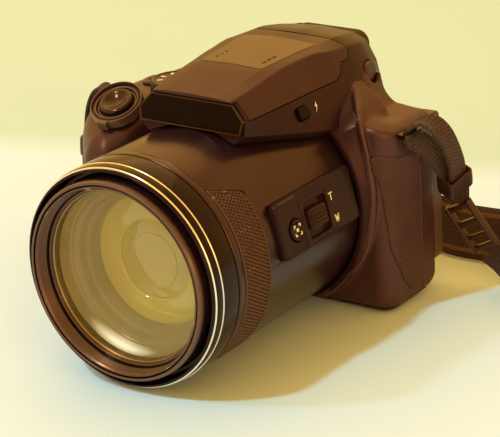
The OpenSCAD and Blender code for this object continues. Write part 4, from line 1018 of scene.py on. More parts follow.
# flash release, with a bolt mark beside it
fb = prism("flash_release", rrect(-3.2, 3.2, -2.25, 2.25, 1.2), "yz", -1.6, 0.9)
place(fb, flash_m)
piece(bevel(fb, 0.5, 3), "badge", "flash_button", "flash_button")
bolt = prism("flash_bolt_mark", [(1.25, 2.3), (-0.75, -0.1), (0.3, -0.1), (-1.0, -2.3), (1.3, 0.65), (0.25, 0.65)], "yz", -0.25, 0.12)
place(bolt, Matrix.Translation((26.75, -26.6, 81.5)) @ Matrix.Rotation(math.radians(-28.0), 4, "Y") @ Matrix.Rotation(math.radians(-8), 4, "X"))
piece(smooth(bolt, 30), "white", "body")

M["gloss2"] = gloss("semi_gloss_black", (0.017, 0.0098, 0.0072), 0.2, 0.25, 0.12)
M["tube"] = coated("flash_lens", (0.75, 0.75, 0.7), 0.45, 0.12)
M["mirror"] = metal("reflector", (0.85, 0.84, 0.8), (0.75, 0.74, 0.7), 0.08, 2500.0, "X")
M["board"] = plastic("circuit_board", (0.01, 0.06, 0.025), (0.015, 0.085, 0.035), 0.35, 0.08, 1500.0, 0.00003, 0.3)
M["packm"] = plastic("pack_grey", (0.02, 0.02, 0.022), (0.03, 0.03, 0.032), 0.45, 0.08, 1500.0, 0.00003, 0.3)
M["redp"] = plastic("button_dark", (0.022, 0.012, 0.009), (0.032, 0.018, 0.013), 0.36, 0.08, 2600.0, 0.00003, 0.3)

# ---------------------------------------------------------------- body shell: blended volumes, skinned on a grid

PLAN = [(50, 16, 1.5), (50, -17, 7), (-48, -17, 4), (-52, -35, 5), (-57, -46.5, 6), (-67, -45.5, 8), (-81, -28, 14), (-90, -9, 11), (-90, 16, 1)]
RIGHT = [(-24, 85, 2), (-30, 78, 5), (-34, 70.5, 3), (-70, 70.5, 8), (-79, 66.7, 12), (-90, 60.4, 6), (-97, 52, 1), (-97, -3, 0)]
SHOULDER = [(62, -3, 0), (62, 61, 0), (50.8, 69.2, 0.5), (39.6, 76.2, 3), (31, 80.6, 6), (24, 85, 2)] + RIGHT          # at the front
SHOULDER2 = [(62, -3, 0), (62, 61, 0), (50.4, 68.9, 2.0), (46, 70.5, 6), (34.2, 71.7, 5), (29.3, 75.6, 5), (27.5, 85, 1)] + RIGHT   # at the back
RIDGE = [(27.6, -1.6, 82.0), (30.6, -6, 80.6), (33.6, -10.2, 79.2), (36.8, -14.6, 77.6), (39.2, -17.6, 75.2), (40.5, -18.4, 71), (41.6, -18.5, 66.6), (42.9, -18.7, 61.6), (44.1, -18.9, 55.5),
         (45.0, -19.2, 49), (45.2, -19.8, 42), (44.6, -20.5, 35), (43.2, -21.2, 28.6), (40.8, -22.0, 22.8), (37.4, -22.6, 18.0)]
BAND_T, BAND_R = [-60, -40, -25, -10, 0, 10, 20, 27, 40, 46, 56, 75], [43.4, 43.4, 43.6, 44.4, 45.2, 46, 46.5, 47.2, 50.6, 51.2, 50.0, 48]
BAND_T2, BAND_H = [-60, -40, -25, -10, 0, 10, 27, 40, 46, 56, 75], [22.6, 22.6, 22, 20.8, 20.2, 19.4, 18.7, 17.4, 12.5, 1.5, -4]
TILT = 25.9
SLOPE = math.tan(math.radians(TILT))
shut_m = Matrix.Translation((-61.5, -27.9, 70.5 - 6.9 * SLOPE)) @ rotx(TILT)


def poly_sd(P, a, b):
    """Signed distance to a closed outline, negative inside."""
    P = np.array(P, float)[:, :2]
    d = np.full(np.broadcast(a, b).shape, 1e9, np.float32)
    s = np.ones(d.shape, np.float32)
    for i in range(len(P)):
        vi, vj = P[i], P[i - 1]
        e = vj - vi
        q = float(e @ e)
        if q < 1e-12:
            continue
        wa, wb = a - vi[0], b - vi[1]
        t = np.clip((wa * e[0] + wb * e[1]) / q, 0, 1)
        d = np.minimum(d, (wa - e[0] * t) ** 2 + (wb - e[1] * t) ** 2)
        c1, c2, c3 = b >= vi[1], b < vj[1], e[0] * wb > e[1] * wa
        s = np.where((c1 & c2 & c3) | (~c1 & ~c2 & ~c3), -s, s)
    return (s * np.sqrt(d)).astype(np.float32)


def smin(a, b, k):
    h = np.maximum(k - np.abs(a - b), 0) / k
    return np.minimum(a, b) - h * h * k * 0.25


def smax(a, b, k):
    return -smin(-a, -b, k)


def axes(x0, x1, y0, y1, z0, z1, h):
    f = lambda a, b: np.arange(a, b + h, h, dtype=np.float32)
    return f(x0, x1)[:, None, None], f(y0, y1)[None, :, None], f(z0, z1)[None, None, :]


def skin(name, f, X, Y, Z):
    """Quad skin over the zero level of f: one point in every crossed cell."""
    xs, ys, zs = X.ravel(), Y.ravel(), Z.ravel()
    h = float(xs[1] - xs[0])
    inside = f < 0
    n = [k - 1 for k in f.shape]
    tot = np.zeros(n + [3], np.float32)
    cnt = np.zeros(n, np.float32)
    faces = []
    for ax in range(3):
        lo = [slice(None)] * 3
        hi = [slice(None)] * 3
        lo[ax], hi[ax] = slice(0, -1), slice(1, None)
        f0, f1 = f[tuple(lo)], f[tuple(hi)]
        cross = inside[tuple(lo)] != inside[tuple(hi)]
        idx = np.argwhere(cross)
        g0, g1 = f0[cross], f1[cross]
        t = g0 / (g0 - g1)
        pos = idx.astype(np.float32)
        pos[:, ax] += t
        o1, o2 = [k for k in range(3) if k != ax]
        for d1 in (0, 1):
            for d2 in (0, 1):
                c = idx.copy()
                c[:, o1] -= d1
                c[:, o2] -= d2
                ok = ((c >= 0) & (c < np.array(n))).all(axis=1)
                cc = c[ok]
                np.add.at(tot, (cc[:, 0], cc[:, 1], cc[:, 2]), pos[ok])
                np.add.at(cnt, (cc[:, 0], cc[:, 1], cc[:, 2]), 1.0)
        ok = (idx[:, o1] > 0) & (idx[:, o2] > 0) & (idx[:, o1] < f.shape[o1] - 1) & (idx[:, o2] < f.shape[o2] - 1)
        e = idx[ok]
        flip = (g0[ok] < 0) ^ (ax == 1)
        quad = []
        for d1, d2 in ((1, 1), (0, 1), (0, 0), (1, 0)):
            c = e.copy()
            c[:, o1] -= d1
            c[:, o2] -= d2
            quad.append((c[:, 0] * n[1] + c[:, 1]) * n[2] + c[:, 2])
        quad = np.stack(quad, 1)
        quad[flip] = quad[flip][:, ::-1]
        faces.append(quad)
    used = np.flatnonzero(cnt.ravel() > 0)
    number = np.full(cnt.size, -1, np.int64)
    number[used] = np.arange(len(used))
    V = tot.reshape(-1, 3)[used] / cnt.ravel()[used][:, None]
    V = V * h + np.array([xs[0], ys[0], zs[0]], np.float32)
    Q = number[np.concatenate(faces)]
    me = bpy.data.meshes.new(name)
    me.vertices.add(len(V))
    me.vertices.foreach_set("co", (V * S).astype(np.float32).ravel())
    me.loops.add(Q.size)
    me.loops.foreach_set("vertex_index", Q.ravel().astype(np.int32))
    me.polygons.add(len(Q))
    me.polygons.foreach_set("loop_start", np.arange(0, Q.size, 4, dtype=np.int32))
    me.update(calc_edges=True)
    me.validate()
    bm = bmesh.new()
    bm.from_mesh(me)
    bmesh.ops.recalc_face_normals(bm, faces=bm.faces)
    bm.to_mesh(me)
    bm.free()
    return link(bpy.data.objects.new(name, me))


def smoothstep(a, b, x):
    t = np.clip((x - a) / (b - a), 0, 1)
    return t * t * (3 - 2 * t)


def bead(P, X, Y, Z, r):
    """Distance to a round cord through P."""
    P = np.array(P, float)
    d = np.full((X.size, Y.size, Z.size), 60.0, np.float32)
    for a, b in zip(P[:-1], P[1:]):
        sl = []
        for ax, g in enumerate((X, Y, Z)):
            q = g.ravel()
            i = np.flatnonzero((q > min(a[ax], b[ax]) - 7) & (q < max(a[ax], b[ax]) + 7))
            sl.append(slice(i[0], i[-1] + 1) if len(i) else None)
        if None in sl:
            continue
        x, y, z = X[sl[0]], Y[:, sl[1]], Z[:, :, sl[2]]
        e = b - a
        t = np.clip(((x - a[0]) * e[0] + (y - a[1]) * e[1] + (z - a[2]) * e[2]) / float(e @ e), 0, 1)
        q = np.sqrt((x - a[0] - e[0] * t) ** 2 + (y - a[1] - e[1] * t) ** 2 + (z - a[2] - e[2] * t) ** 2) - r
        d[sl[0], sl[1], sl[2]] = np.minimum(d[sl[0], sl[1], sl[2]], q)
    return d


def body_field(X, Y, Z, humped=True):
    """Distance field of the covers without their openings."""
    d_plan = poly_sd(rpoly(PLAN, 8), X[:, :, 0], Y[:, :, 0])[:, :, None]
    d_f = poly_sd(rpoly(SHOULDER, 6), X[:, 0, :], Z[:, 0, :])[:, None, :]
    d_b = poly_sd(rpoly(SHOULDER2, 6), X[:, 0, :], Z[:, 0, :])[:, None, :]
    w = smoothstep(-17.0, 3.0, Y)
    d_xz = d_f * (1 - w) + d_b * w
    k = np.interp(X, [-70, -52, -40], [12.0, 8.0, 1.6]).astype(np.float32)
    front = (Z - 70.5 - (Y + 21) * SLOPE) * math.cos(math.radians(TILT))
    d = smax(d_plan, smax(d_xz, front, 5.0), k)
    # raised part behind the grip
    blk = np.maximum(np.maximum(np.abs(X + 62.7) - 26.7, np.abs(Z - 35.45) - 30.45), np.abs(Y - 17) - 3.5) + 0 * d
    d = smin(d, smax(smax(blk, d_xz, 1.0), Y - 20.5, 3.0), 0.8)
    # the left shoulder is cut back towards the hump, which leaves its sharp upright edge
    s = (X - 40.2) * -0.8 + (Y + 18.2) * -0.6
    cutback = np.maximum(np.maximum(-s, 70.5 - Z), -X)
    d = smax(d, -cutback, 0.8)
    if humped:
        hu = np.full(d.shape, 40.0, np.float32)
        jx = np.flatnonzero(np.abs(X.ravel()) < 50)
        jz = np.flatnonzero(Z.ravel() > 60)
        if len(jx) and len(jz):
            xs, zs = X.ravel()[jx][:, None], Z.ravel()[jz][None, :]
            for j, y in enumerate(Y.ravel()):
                if y > -24:
                    ring_ = np.array(hump_ring(min(float(y), 21.0)))[:, [0, 2]]
                    hu[jx[0]:jx[-1] + 1, j, jz[0]:jz[-1] + 1] = poly_sd(ring_, xs, zs)
        hu = np.maximum(hu + 0.3 + 1.2 * smoothstep(-12.0, -21.0, Y), -21.0 - Y)
        kk = np.where(X > 0, 1.0 + 2.4 * smoothstep(0.5, -6.0, s), 5.0).astype(np.float32) + 0 * Z
        d = smin(d, hu, kk)
    # collar round the barrel: a slanting band that runs up into the hump
    R_ = np.sqrt(X * X + (Z - AZ) ** 2)
    th = np.degrees(np.arctan2(Z - AZ, np.abs(X) + 0 * Z))
    ro = np.interp(th, BAND_T, BAND_R).astype(np.float32)
    hr = np.interp(th, BAND_T2, BAND_H).astype(np.float32)
    hr = np.where(X > 0, hr, np.maximum(hr, 17.6))
    ar, ah = 42.7, 23.2
    L = np.sqrt((ah - hr) ** 2 + (ro - ar) ** 2)
    h = -Y
    d1 = ((R_ - ar) * (ah - hr) + (h - ah) * (ro - ar)) / L
    col = np.maximum(np.maximum(d1, R_ - ro), np.maximum(h - 23.0, -2 - h))
    col = np.maximum(col, np.where(X > 0, Z - 83.0, np.maximum(Z - 73.0, 13 - h)))
    d = smin(d, col, 1.2)
    d = smin(d, bead(RIDGE, X, Y, Z, 0.9), 1.3)
    # rounded foot, and the underside that rises at the back
    rf = np.interp(X, [-40, 30], [3.0, 5.2]).astype(np.float32)
    q1, q2 = np.maximum(d_plan + rf, 0), np.maximum(rf - Z, 0)
    d = np.maximum(d, np.where((q1 > 0) & (q2 > 0), np.sqrt(q1 * q1 + q2 * q2) - rf, -30))
    belly = np.interp(Y, [-60, 8.6, 12.6, 16.4, 24], [-6, 0, 3.4, 7.4, 13]).astype(np.float32)
    d = np.maximum(d, np.where(X > -33, (belly - Z) * 0.75, -30))
    return np.maximum(d, -Z)


def local(m, X, Y, Z):
    i = m.inverted()
    return tuple(i[r][0] * X + i[r][1] * Y + i[r][2] * Z + i[r][3] for r in range(3))


X, Y, Z = axes(-92.2, 52.4, -49, 22.4, -0.7, 100.4, 0.62)
field = body_field(X, Y, Z)
R_ = np.sqrt(X * X + (Z - AZ) ** 2)
field = np.maximum(field, -np.maximum(R_ - 40.9, Y + 16.9))


def hole_z(field, x, y, r, z0):
    return np.maximum(field, -np.maximum(np.sqrt((X - x) ** 2 + (Y - y) ** 2) - r, z0 - Z))


field = hole_z(field, -45.8, -11.5, 3.2, 65.0)
field = hole_z(field, -45.8, -11.5, 10.8, 70.5)
field = hole_z(field, -58, 13.5, 8.4, 67.0)
field = hole_z(field, -58, 13.5, 2.7, 65.0)
field = hole_z(field, -64.5, -1.5, 4.5, 68.4)
lx, ly, lz = local(shut_m, X, Y, Z)
rho = np.sqrt(lx * lx + ly * ly)
field = np.maximum(field, -np.maximum(rho - 10.9, 0.15 - lz))
field = np.maximum(field, -np.maximum(rho - 7.0, -3.0 - lz))
box_ = lambda x0, x1, y0, y1, z0, z1: np.maximum(np.maximum(np.maximum(x0 - X, X - x1), np.maximum(y0 - Y, Y - y1)), np.maximum(z0 - Z, Z - z1))
field = np.maximum(field, -box_(-10.6, 10.6, 3.2, 30, 79.9, 92.1))
field = np.maximum(field, -np.maximum(np.sqrt((Y - 11.5) ** 2 + (Z - 83.5) ** 2) - 4.25, 23.1 - X))
zone = poly_sd(lid_poly(0.7), Y[0], Z[0])[None]
pin = np.sqrt((Y + 2.4) ** 2 + (Z - 94.9) ** 2) - 5.2
field = np.maximum(field, -np.minimum(zone, pin))
field = np.maximum(field, -box_(-36, 60, 15.9, 40, 40, 72.4))
box_y = lambda x, z, r, y0: np.maximum(np.sqrt((X - x) ** 2 + (Z - z) ** 2) - r, y0 - Y)
REAR = {"movie": (-64, 59, 3.6), "monitor": (-43.5, 59.5, 2.9), "playback": (-42.5, 50, 2.9), "menu": (-45, 15, 2.9), "delete": (-67, 15, 2.9)}
back = field
for x, z, r in REAR.values():
    back = np.maximum(back, -box_y(x, z, r + 0.35, 17.2))
back = np.maximum(back, -box_y(-56, 36, 11.4, 18.8))
back = np.maximum(back, -box_y(-56, 36, 4.8, 17.2))
back = np.maximum(back, -box_(-99, -88.0, 6.2, 15.4, 13.7, 46.3))
back = np.maximum(back, -box_(-99, -80, 7.8, 13.4, 17, 41))
back = np.maximum(back, np.maximum(5.75 - Y, np.maximum(Z - 65.95, 2.45 - Z)))
ob = skin("back_cover", back.astype(np.float32), X, Y, Z)
piece(smooth(ob, 50), "body", "body", "rear_cover")
ears = []
for x in (-31, 44):
    ears.append(prism("ear", rpoly([(15.7, 63.3, 0.6), (20.4, 63.3, 1.0), (22.0, 65.0, 1.6), (22.0, 67.4, 2.0), (20.4, 68.8, 1.8), (15.7, 68.8, 0.6)], 4), "yz", x, x + 5))
piece(bevel(join("monitor_ears", ears), 0.3, 2, 40), "body", "body")
base = np.maximum(field, Z - 2.2)
base = np.maximum(base, -np.maximum(np.sqrt(X * X + Y * Y) - 6.0, -Z - 3))
base = np.maximum(base, -box_(-72.3, -54, -35.3, 4.9, -3, 5))
ob = skin("base_cover", base[:, :, :8].astype(np.float32), X, Y, Z[:, :, :8])
piece(smooth(ob, 50), "dark", "body", "bottom_cover")
field = np.maximum(field, np.minimum(Y - 5.55, 66.15 - Z))
field = np.maximum(field, np.maximum(Y - 16.0, 2.45 - Z))
shell = skin("body_cover", field.astype(np.float32), X, Y, Z)
piece(smooth(shell, 50), "body", "body", ("front_cover", "top_cover"))
# the band round the barrel takes the housing colour, darker and with finer grain: the darkness is painted shade for the
# shade that falls beside the hump
shell.data.materials.append(M["house"])
mid = np.zeros(len(shell.data.polygons) * 3, np.float32)
shell.data.polygons.foreach_get("center", mid)
mid = mid.reshape(-1, 3) / S
th = np.degrees(np.arctan2(mid[:, 2] - AZ, np.abs(mid[:, 0])))
ro = np.interp(th, BAND_T, BAND_R)
rr = np.hypot(mid[:, 0], mid[:, 2] - AZ)
painted_shade_band = (mid[:, 0] > 0) & (rr < ro - 0.5) & (rr < 41.6 + (ro - 41.6) * 1.0) & (-mid[:, 1] > np.interp(th, BAND_T2, BAND_H) - 1.5) & (mid[:, 1] < 2) & (th > -50)
shell.data.polygons.foreach_set("material_index", painted_shade_band.astype(np.int32))
del field, back, base, R_, lx, ly, lz, rho, zone, pin

# left side skin: pebbled panel that wraps the front corner
X, Y, Z = axes(40.2, 52.0, -19.4, 6.6, 4.2, 65.4, 0.34)
base_d = body_field(X, Y, Z, False)
ang = np.arctan2(-(Y + 10), X - 43)
s_run = np.where(Y > -10, 11 + (Y + 10), np.where(X < 43, X - 43, 11 - 7 * ang))
s_front = np.interp(Z, [5, 11.7, 20, 26, 40, 49, 58, 66], [18.6, 13.1, 8.6, 6.3, 4.5, 3.4, 1.0, -1.0]).astype(np.float32)
region = smax(smax(s_front - s_run, Y - 5.2, 1.6), smax(5.5 - Z, Z - (60.7 - (Y + 10) * 0.235), 1.6), 3.0)
panel_d = smax(np.maximum(base_d - 0.5, -(base_d + 0.5)), region + 0 * base_d, 0.5)
lp = skin("left_skin", panel_d.astype(np.float32), X, Y, Z)
piece(smooth(lp, 55), "rubber", "body", "left_rubber_panel")

# grip skin
X, Y, Z = axes(-92.4, -52.6, -48.6, 4.6, 5.8, 63.6, 0.5)
base_d = body_field(X, Y, Z, False)
region = smax(smax(X + 54.2, Y - 3.2, 2.0), smax(7.0 - Z, np.where(Y < -17, Z - 58.5 - (Y + 17) * SLOPE, Z - 58.5), 2.0), 3.0)
panel_d = smax(np.maximum(base_d - 0.55, -(base_d + 0.5)), region + 0 * base_d, 0.6)
gp = skin("grip_skin_front", panel_d.astype(np.float32), X, Y, Z)
piece(smooth(gp, 55), "grip", "body", "grip_rubber")
del panel_d, base_d, region, X, Y, Z

# ---------------------------------------------------------------- side control on the barrel


def letter(strokes, y, t, h, x0, x1, w=0.42):
    """Plain capital from straight strokes on a unit square, reading towards the back."""
    obs = []
    for (a0, b0), (a1, b1) in strokes:
        p, q = np.array([y + (a0 - 0.5) * h * 0.8, t + (b0 - 0.5) * h]), np.array([y + (a1 - 0.5) * h * 0.8, t + (b1 - 0.5) * h])
        u = unit(q - p)
        n = np.array([-u[1], u[0]]) * w / 2
        p, q = p - u * w * 0.35, q + u * w * 0.35
        obs.append(prism("stroke", [p - n, q - n, q + n, p + n], "yz", x0, x1))
    return obs


X, Y, Z = axes(38.4, 43.2, -74.0, -23.6, -11.2, 11.2, 0.27)
flat = lambda *q: poly_sd(rrect(*q, 8), Y[0], Z[0])[None]
d = smax(flat(-73.2, -24.3, -10.3, 10.3, 2.6), np.maximum(X - 41.5, 38.95 - X), 0.9)
d = smin(d, smax(flat(-73.2, -58.2, -10.3, 10.3, 2.6), np.maximum(X - 42.5, 40 - X), 1.1), 0.7)
d = smin(d, smax(flat(-58.9, -41.4, -8.9, 6.5, 1.8), np.maximum(X - 42.1, 40 - X), 0.7), 0.5)
d = smax(d, -np.maximum(np.sqrt((Y + 63.8) ** 2 + (Z + 1.6) ** 2) - 4.2, 39.6 - X), 0.4)
d = smax(d, -np.maximum(flat(-56.9, -42.6, -7.7, 5.3, 1.6), 39.9 - X), 0.5)
d = smax(d, -np.maximum(flat(-71.5, -59.5, -8.6, 8.6, 2.2), 42.15 - X), 0.4)
pan = place(smooth(skin("side_panel_moulded", d.astype(np.float32), X, Y, Z), 60), side)
del d, X, Y, Z
piece(pan, "panel", "body", "side_control_panel")


def disc_prof(name, prof, seg=64):
    """Turns a profile of (radius, height) about local x."""
    V, F = [], []
    n = len(prof)
    for a in np.linspace(0, 2 * math.pi, seg, endpoint=False):
        for r, x in prof:
            V.append((x, r * math.cos(a), r * math.sin(a)))
    for i in range(seg):
        j = (i + 1) % seg
        for q in range(n - 1):
            F.append((i * n + q, i * n + q + 1, j * n + q + 1, j * n + q))
    return raw(name, V, F, 1e-6)


btn = disc_prof("snapback_cap", [(0, 40.6), (3.85, 40.6), (3.85, 42.35), (3.7, 42.7), (3.35, 42.9), (2.85, 42.82), (1.5, 42.6), (0, 42.52)])
btn.data.transform(Matrix.Translation((0, -63.8 * S, -1.6 * S)))
piece(smooth(place(btn, side), 40), "gloss", "snapback_button", "snapback_button")
ico = []
for sy in (-1, 1):
    for st in (-1, 1):
        ico.append(prism("i", [(-63.8 + sy * 2.0, -1.6 + st * 2.0), (-63.8 + sy * 0.95, -1.6 + st * 2.0), (-63.8 + sy * 0.95, -1.6 + st * 1.58), (-63.8 + sy * 1.58, -1.6 + st * 1.58),
                           (-63.8 + sy * 1.58, -1.6 + st * 0.95), (-63.8 + sy * 2.0, -1.6 + st * 0.95)], "yz", 42.5, 42.92))
ico.append(prism("i", rrect(-64.4, -63.2, -2.2, -1.0, 0.2, 3), "yz", 42.4, 42.72))
ob = join("snapback_mark", ico)
piece(smooth(place(ob, side), 30), "white", "snapback_button")

lev = [prism("l", rrect(-55.1, -44.4, -4.9, 2.5, 1.2, 5), "yz", 40.2, 42.4), prism("l", rrect(-54.2, -45.3, -4.1, 1.7, 1.0, 5), "yz", 42.3, 43.0)]
for k in (-1.5, -0.5, 0.5, 1.5):
    lev.append(prism("l", rrect(-53.4, -46.1, -1.2 + k * 1.35 - 0.38, -1.2 + k * 1.35 + 0.38, 0.3, 3), "yz", 42.9, 43.65))
lev = bevel(join("side_zoom_slider", lev), 0.22, 2, 40)
piece(place(lev, side), "panel", "side_zoom_lever", "side_zoom_lever")
tw = letter([((0, 1), (1, 1)), ((0.5, 1), (0.5, 0))], -39.2, 2.6, 2.5, 41.4, 41.66)
tw += letter([((0, 1), (0.25, 0)), ((0.25, 0), (0.5, 0.8)), ((0.5, 0.8), (0.75, 0)), ((0.75, 0), (1, 1))], -38.4, -5.6, 2.5, 41.4, 41.66)
ob = join("zoom_letters", tw)
piece(smooth(place(ob, side), 30), "white", "body")

# ---------------------------------------------------------------- dials, shutter and zoom ring


def knurled(name, c, r, z0, z1, ridges, depth=0.45, dish=0.35, per=8):
    """Dial about an upright axis: bevelled foot, ribbed side, bevelled and dished top."""
    seg = ridges * per
    rows = [(0.0, z0, 0), (r - 1.1, z0, 0), (r - 0.55, z0 + 0.15, 0), (r - 0.25, z0 + 0.7, 0.6), (r, z0 + 1.1, 1), (r, z1 - 0.8, 1), (r - 0.2, z1 - 0.35, 0.8), (r - 0.75, z1 - 0.03, 0.0),
            (r - 1.5, z1, 0), (r - 1.9, z1 - dish, 0), (r * 0.4, z1 - dish, 0), (0.0, z1 - dish, 0)]
    V, F = [], []
    for rr, z, k in rows:
        for i in range(seg):
            a = 2 * math.pi * i / seg
            w = depth * k * (0.5 - 0.5 * math.cos(2 * math.pi * ((i % per) / per)))**2
            V.append((c[0] + (rr - w) * math.cos(a), c[1] + (rr - w) * math.sin(a), z))
    for i in range(len(rows) - 1):
        for j in range(seg):
            F.append((i * seg + j, i * seg + (j + 1) % seg, (i + 1) * seg + (j + 1) % seg, (i + 1) * seg + j))
    return raw(name, V, F, 1e-6)


md = knurled("mode_dial_ribbed", (-45.8, -11.5), 10.4, 70.9, 77.7, 52)
piece(smooth(md, 35), "dark", "mode_dial", "mode_dial")
marks = []
for k in range(9):
    a = math.radians(20 + k * 40)
    cx, cy = -45.8 + 6.6 * math.cos(a), -11.5 + 6.6 * math.sin(a)
    w = 0.45 if k % 3 else 0.75
    P = [(cx + (u * 1.1) * math.cos(a) - v * w * math.sin(a), cy + (u * 1.1) * math.sin(a) + v * w * math.cos(a)) for u, v in ((-1, -1), (1, -1), (1, 1), (-1, 1))]
    marks.append(prism("m", P, "xy", 77.2, 77.42))
piece(smooth(join("mode_dial_marks", marks), 30), "white", "mode_dial")
cd = knurled("command_dial_ribbed", (-58, 13.5), 8.0, 67.4, 71.1, 36, 0.5)
piece(smooth(cd, 35), "dark", "command_dial", "command_dial")
pb = knurled("power_cap", (-64.5, -1.5), 4.2, 69.4, 71.7, 12, 0.0, 0.3, 5)
piece(smooth(pb, 35), "dark", "power_button", "power_button")


def zlathe(name, prof, seg=96, wob=None):
    """Turns a closed profile of (radius, height) about local z; wob changes each point by its angle."""
    V, F = [], []
    n = len(prof)
    for i in range(seg):
        a = 2 * math.pi * i / seg
        for q, (r, z) in enumerate(prof):
            if wob:
                r, z = wob(a, q, r, z)
            V.append((r * math.cos(a), r * math.sin(a), z))
    for i in range(seg):
        j = (i + 1) % seg
        for q in range(n):
            w = (q + 1) % n
            F.append((i * n + q, i * n + w, j * n + w, j * n + q))
    return raw(name, V, F, 1e-6)


def zring(a, q, r, z):
    back = 0.5 + 0.5 * math.sin(a - 0.5)
    if q in (2, 3, 4, 5):
        z += 1.5 * back - 0.9
    return r, z


zr = zlathe("zoom_ring", [(8.2, 0.5), (10.2, 0.5), (10.5, 4.6), (10.3, 5.15), (9.95, 5.2), (9.8, 4.7), (9.65, 3.9), (9.3, 3.8), (9.15, 4.3), (8.6, 4.75), (8.2, 4.5)], 120, zring)
tab = []
for k in range(5):
    tab.append(prism("t", rrect(-1.9 + k * 0.95 - 0.3, -1.9 + k * 0.95 + 0.3, -11.8, -9.8, 0.25, 3), "xy", 1.0, 4.4))
tab.append(prism("t", rrect(-2.3, 2.3, -11.3, -9.6, 0.6, 4), "xy", 0.8, 4.2))
zr = join("zoom_ring_lever", [smooth(zr, 40)] + tab)
piece(smooth(place(zr, shut_m), 38), "lever", "zoom_lever", "zoom_lever")
sh = zlathe("shutter_cap", [(0, -1.5), (6.7, -1.5), (6.7, 5.0), (6.5, 5.5), (6.0, 5.85), (5.3, 5.95), (4.5, 5.42), (3.3, 4.76), (1.9, 4.24), (0.9, 4.04), (0, 4.0)], 72)
piece(smooth(place(sh, shut_m), 45), "cap", "shutter_button", "shutter_button")
cup = zlathe("shutter_cup", [(6.95, -2.4), (7.9, -2.4), (7.9, 3.3), (7.7, 3.7), (7.15, 3.7), (6.95, 3.4)], 72)
piece(smooth(place(cup, shut_m), 38), "body", "body")

# finder dial: a small ribbed knob on a level shaft
rows = [(0.0, 19.0, 0), (1.2, 19.0, 0), (1.2, 23.6, 0), (3.4, 23.6, 0), (3.75, 24.0, 1), (3.75, 26.2, 1), (3.5, 26.7, 0.6), (2.8, 26.95, 0), (1.4, 26.85, 0), (0.0, 26.8, 0)]
V, F = [], []
for rr, x, k in rows:
    for i in range(96):
        a = 2 * math.pi * i / 96
        w = 0.28 * k * (0.5 - 0.5 * math.cos(24 * a))
        V.append((x, 11.5 + (rr - w) * math.cos(a), 83.5 + (rr - w) * math.sin(a)))
for i in range(len(rows) - 1):
    for j in range(96):
        F.append((i * 96 + j, i * 96 + (j + 1) % 96, (i + 1) * 96 + (j + 1) % 96, (i + 1) * 96 + j))
piece(smooth(raw("diopter_knob", V, F, 1e-6), 40), "body", "diopter_dial", "diopter_dial")

# ---------------------------------------------------------------- back, base and the rest of the CAD parts

looks = {"body": ["lcd_frame", "ok_button", "connector_cover"],
         "dark": ["iris_unit", "multi_selector", "monitor_button", "playback_button", "menu_button", "delete_button", "battery_door"],
         "softrub": ["thumb_rest", "eyecup"], "screen": ["lcd_glass"], "edge": ["strap_lugs"], "steel": ["tripod_socket", "housing_screws", "flash_hinge_pin", "lcd_hinge_pins", "connector_sockets"],
         "eyeglass": ["eyepiece_lens"], "tube": ["flash_window"], "mirror": ["flash_reflector"], "board": ["main_board", "image_sensor"], "packm": ["battery", "memory_card", "evf_display"], "redp": ["movie_button"]}
for look, names in looks.items():
    for n in names:
        o = nodes[n]
        o.data.materials.clear()
        o.data.materials.append(M[look])


def rear_mark(name, P, x, z, y, mat, body):
    o = prism(name, [(x + a, z + b) for a, b in P], "xz", y - 0.12, y + 0.12)
    return piece(smooth(o, 30), mat, body)


rear_mark("playback_mark", [(1.1, 0), (-0.9, 1.2), (-0.9, -1.2)], -42.5, 50, 21.7, "white", "playback_button")
rear_mark("menu_mark", rrect(-1.2, 1.2, -0.25, 0.25, 0.1, 3), -45, 15, 21.7, "white", "menu_button")
rear_mark("delete_mark", [(-0.9, 1), (-0.65, -1.1), (0.65, -1.1), (0.9, 1)], -67, 15, 21.7, "white", "delete_button")
rear_mark("monitor_mark", rrect(-1.3, 1.3, -0.9, 0.9, 0.25, 3), -43.5, 59.5, 21.7, "white", "monitor_button")
rear_mark("movie_mark", [(1.2 * math.cos(a), 1.2 * math.sin(a)) for a in np.linspace(0, 2 * math.pi, 24, endpoint=False)], -64, 59, 21.7, "red", "movie_button")
sel = [prism("m", [(-56 + math.cos(a) * 8.9 + u * math.cos(a) - v * math.sin(a), 36 + math.sin(a) * 8.9 + u * math.sin(a) + v * math.cos(a)) for u, v in ((0.7, 0), (-0.5, 0.8), (-0.5, -0.8))], "xz", 21.85, 22.1)
       for a in (0, math.pi / 2, math.pi, 1.5 * math.pi)]
piece(smooth(join("selector_arrows", sel), 30), "white", "multi_selector")

# ---------------------------------------------------------------- stage and light

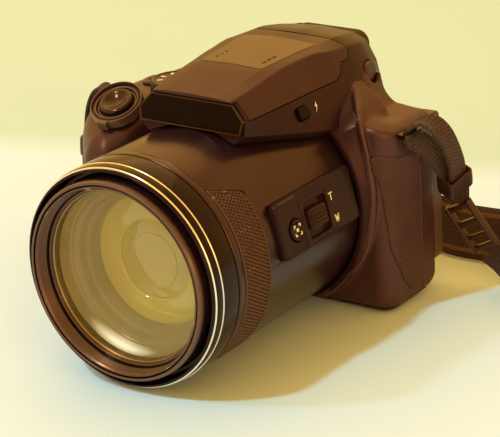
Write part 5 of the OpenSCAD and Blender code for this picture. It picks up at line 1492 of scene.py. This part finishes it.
fm, nt, b = new_mat("pale_table")
tc = nt.nodes.new("ShaderNodeTexCoord")
sep = nt.nodes.new("ShaderNodeSeparateXYZ")
nt.links.new(tc.outputs["Object"], sep.inputs[0])
far = math_node(nt, "SUBTRACT", math_node(nt, "MULTIPLY", sep.outputs[1], 0.957), math_node(nt, "MULTIPLY", sep.outputs[0], 0.290))
col = ramp(nt, remap(nt, far, 0.0, 1.0, 0.115, 0.145), [(0.0, (0.590, 0.745, 0.86)), (1.0, (0.465, 0.63, 0.57))])
nt.links.new(col, b.inputs["Base Color"])
b.inputs["Roughness"].default_value = 0.6
floor = link(bpy.data.objects.new("table", bpy.data.meshes.new("table")))
floor.data.from_pydata([(-6, -6, 0), (6, -6, 0), (6, 6, 0), (-6, 6, 0)], [], [(0, 1, 2, 3)])
floor.data.materials.append(fm)

world = bpy.data.worlds.new("room")
sc.world = world
world.use_nodes = True
bg = world.node_tree.nodes["Background"]
bg.inputs[0].default_value = (1.0, 0.55, 0.12, 1)
bg.inputs[1].default_value = 1.26


def area(name, pos, aim, size, power, col):
    d = bpy.data.lights.new(name, "AREA")
    d.shape = "RECTANGLE"
    d.size, d.size_y = size
    d.energy = power
    d.color = col
    o = link(bpy.data.objects.new(name, d))
    o.location = pos
    o.rotation_euler = (Vector(aim) - Vector(pos)).to_track_quat("-Z", "Y").to_euler()
    return o


aim = Vector((0.0, -0.03, 0.04))
key = area("key", aim + 3.4 * Vector((-0.249, -0.498, 0.830)), aim, (0.20, 0.20), 66.0, (0.37, 0.78, 0.84))
key.visible_glossy = False
sheen = area("key_sheen", aim + 3.4 * Vector((-0.249, -0.498, 0.830)), aim, (0.20, 0.20), 54.0, (0.98, 0.92, 0.58))
sheen.visible_diffuse = False
second = area("second", aim + 3.4 * Vector((-0.571, -0.471, 0.672)), aim, (0.24, 0.24), 32.0, (0.27, 0.56, 0.94))
second.visible_glossy = False
area("overhead", aim + 1.25 * Vector((-0.45, 0.38, 0.81)), aim, (1.5, 1.3), 5.6, (1.0, 0.57, 0.16))
low = area("side_fill", aim + 1.2 * Vector((0.85, -0.46, 0.24)), aim, (0.9, 0.4), 4.6, (1.0, 0.62, 0.26))
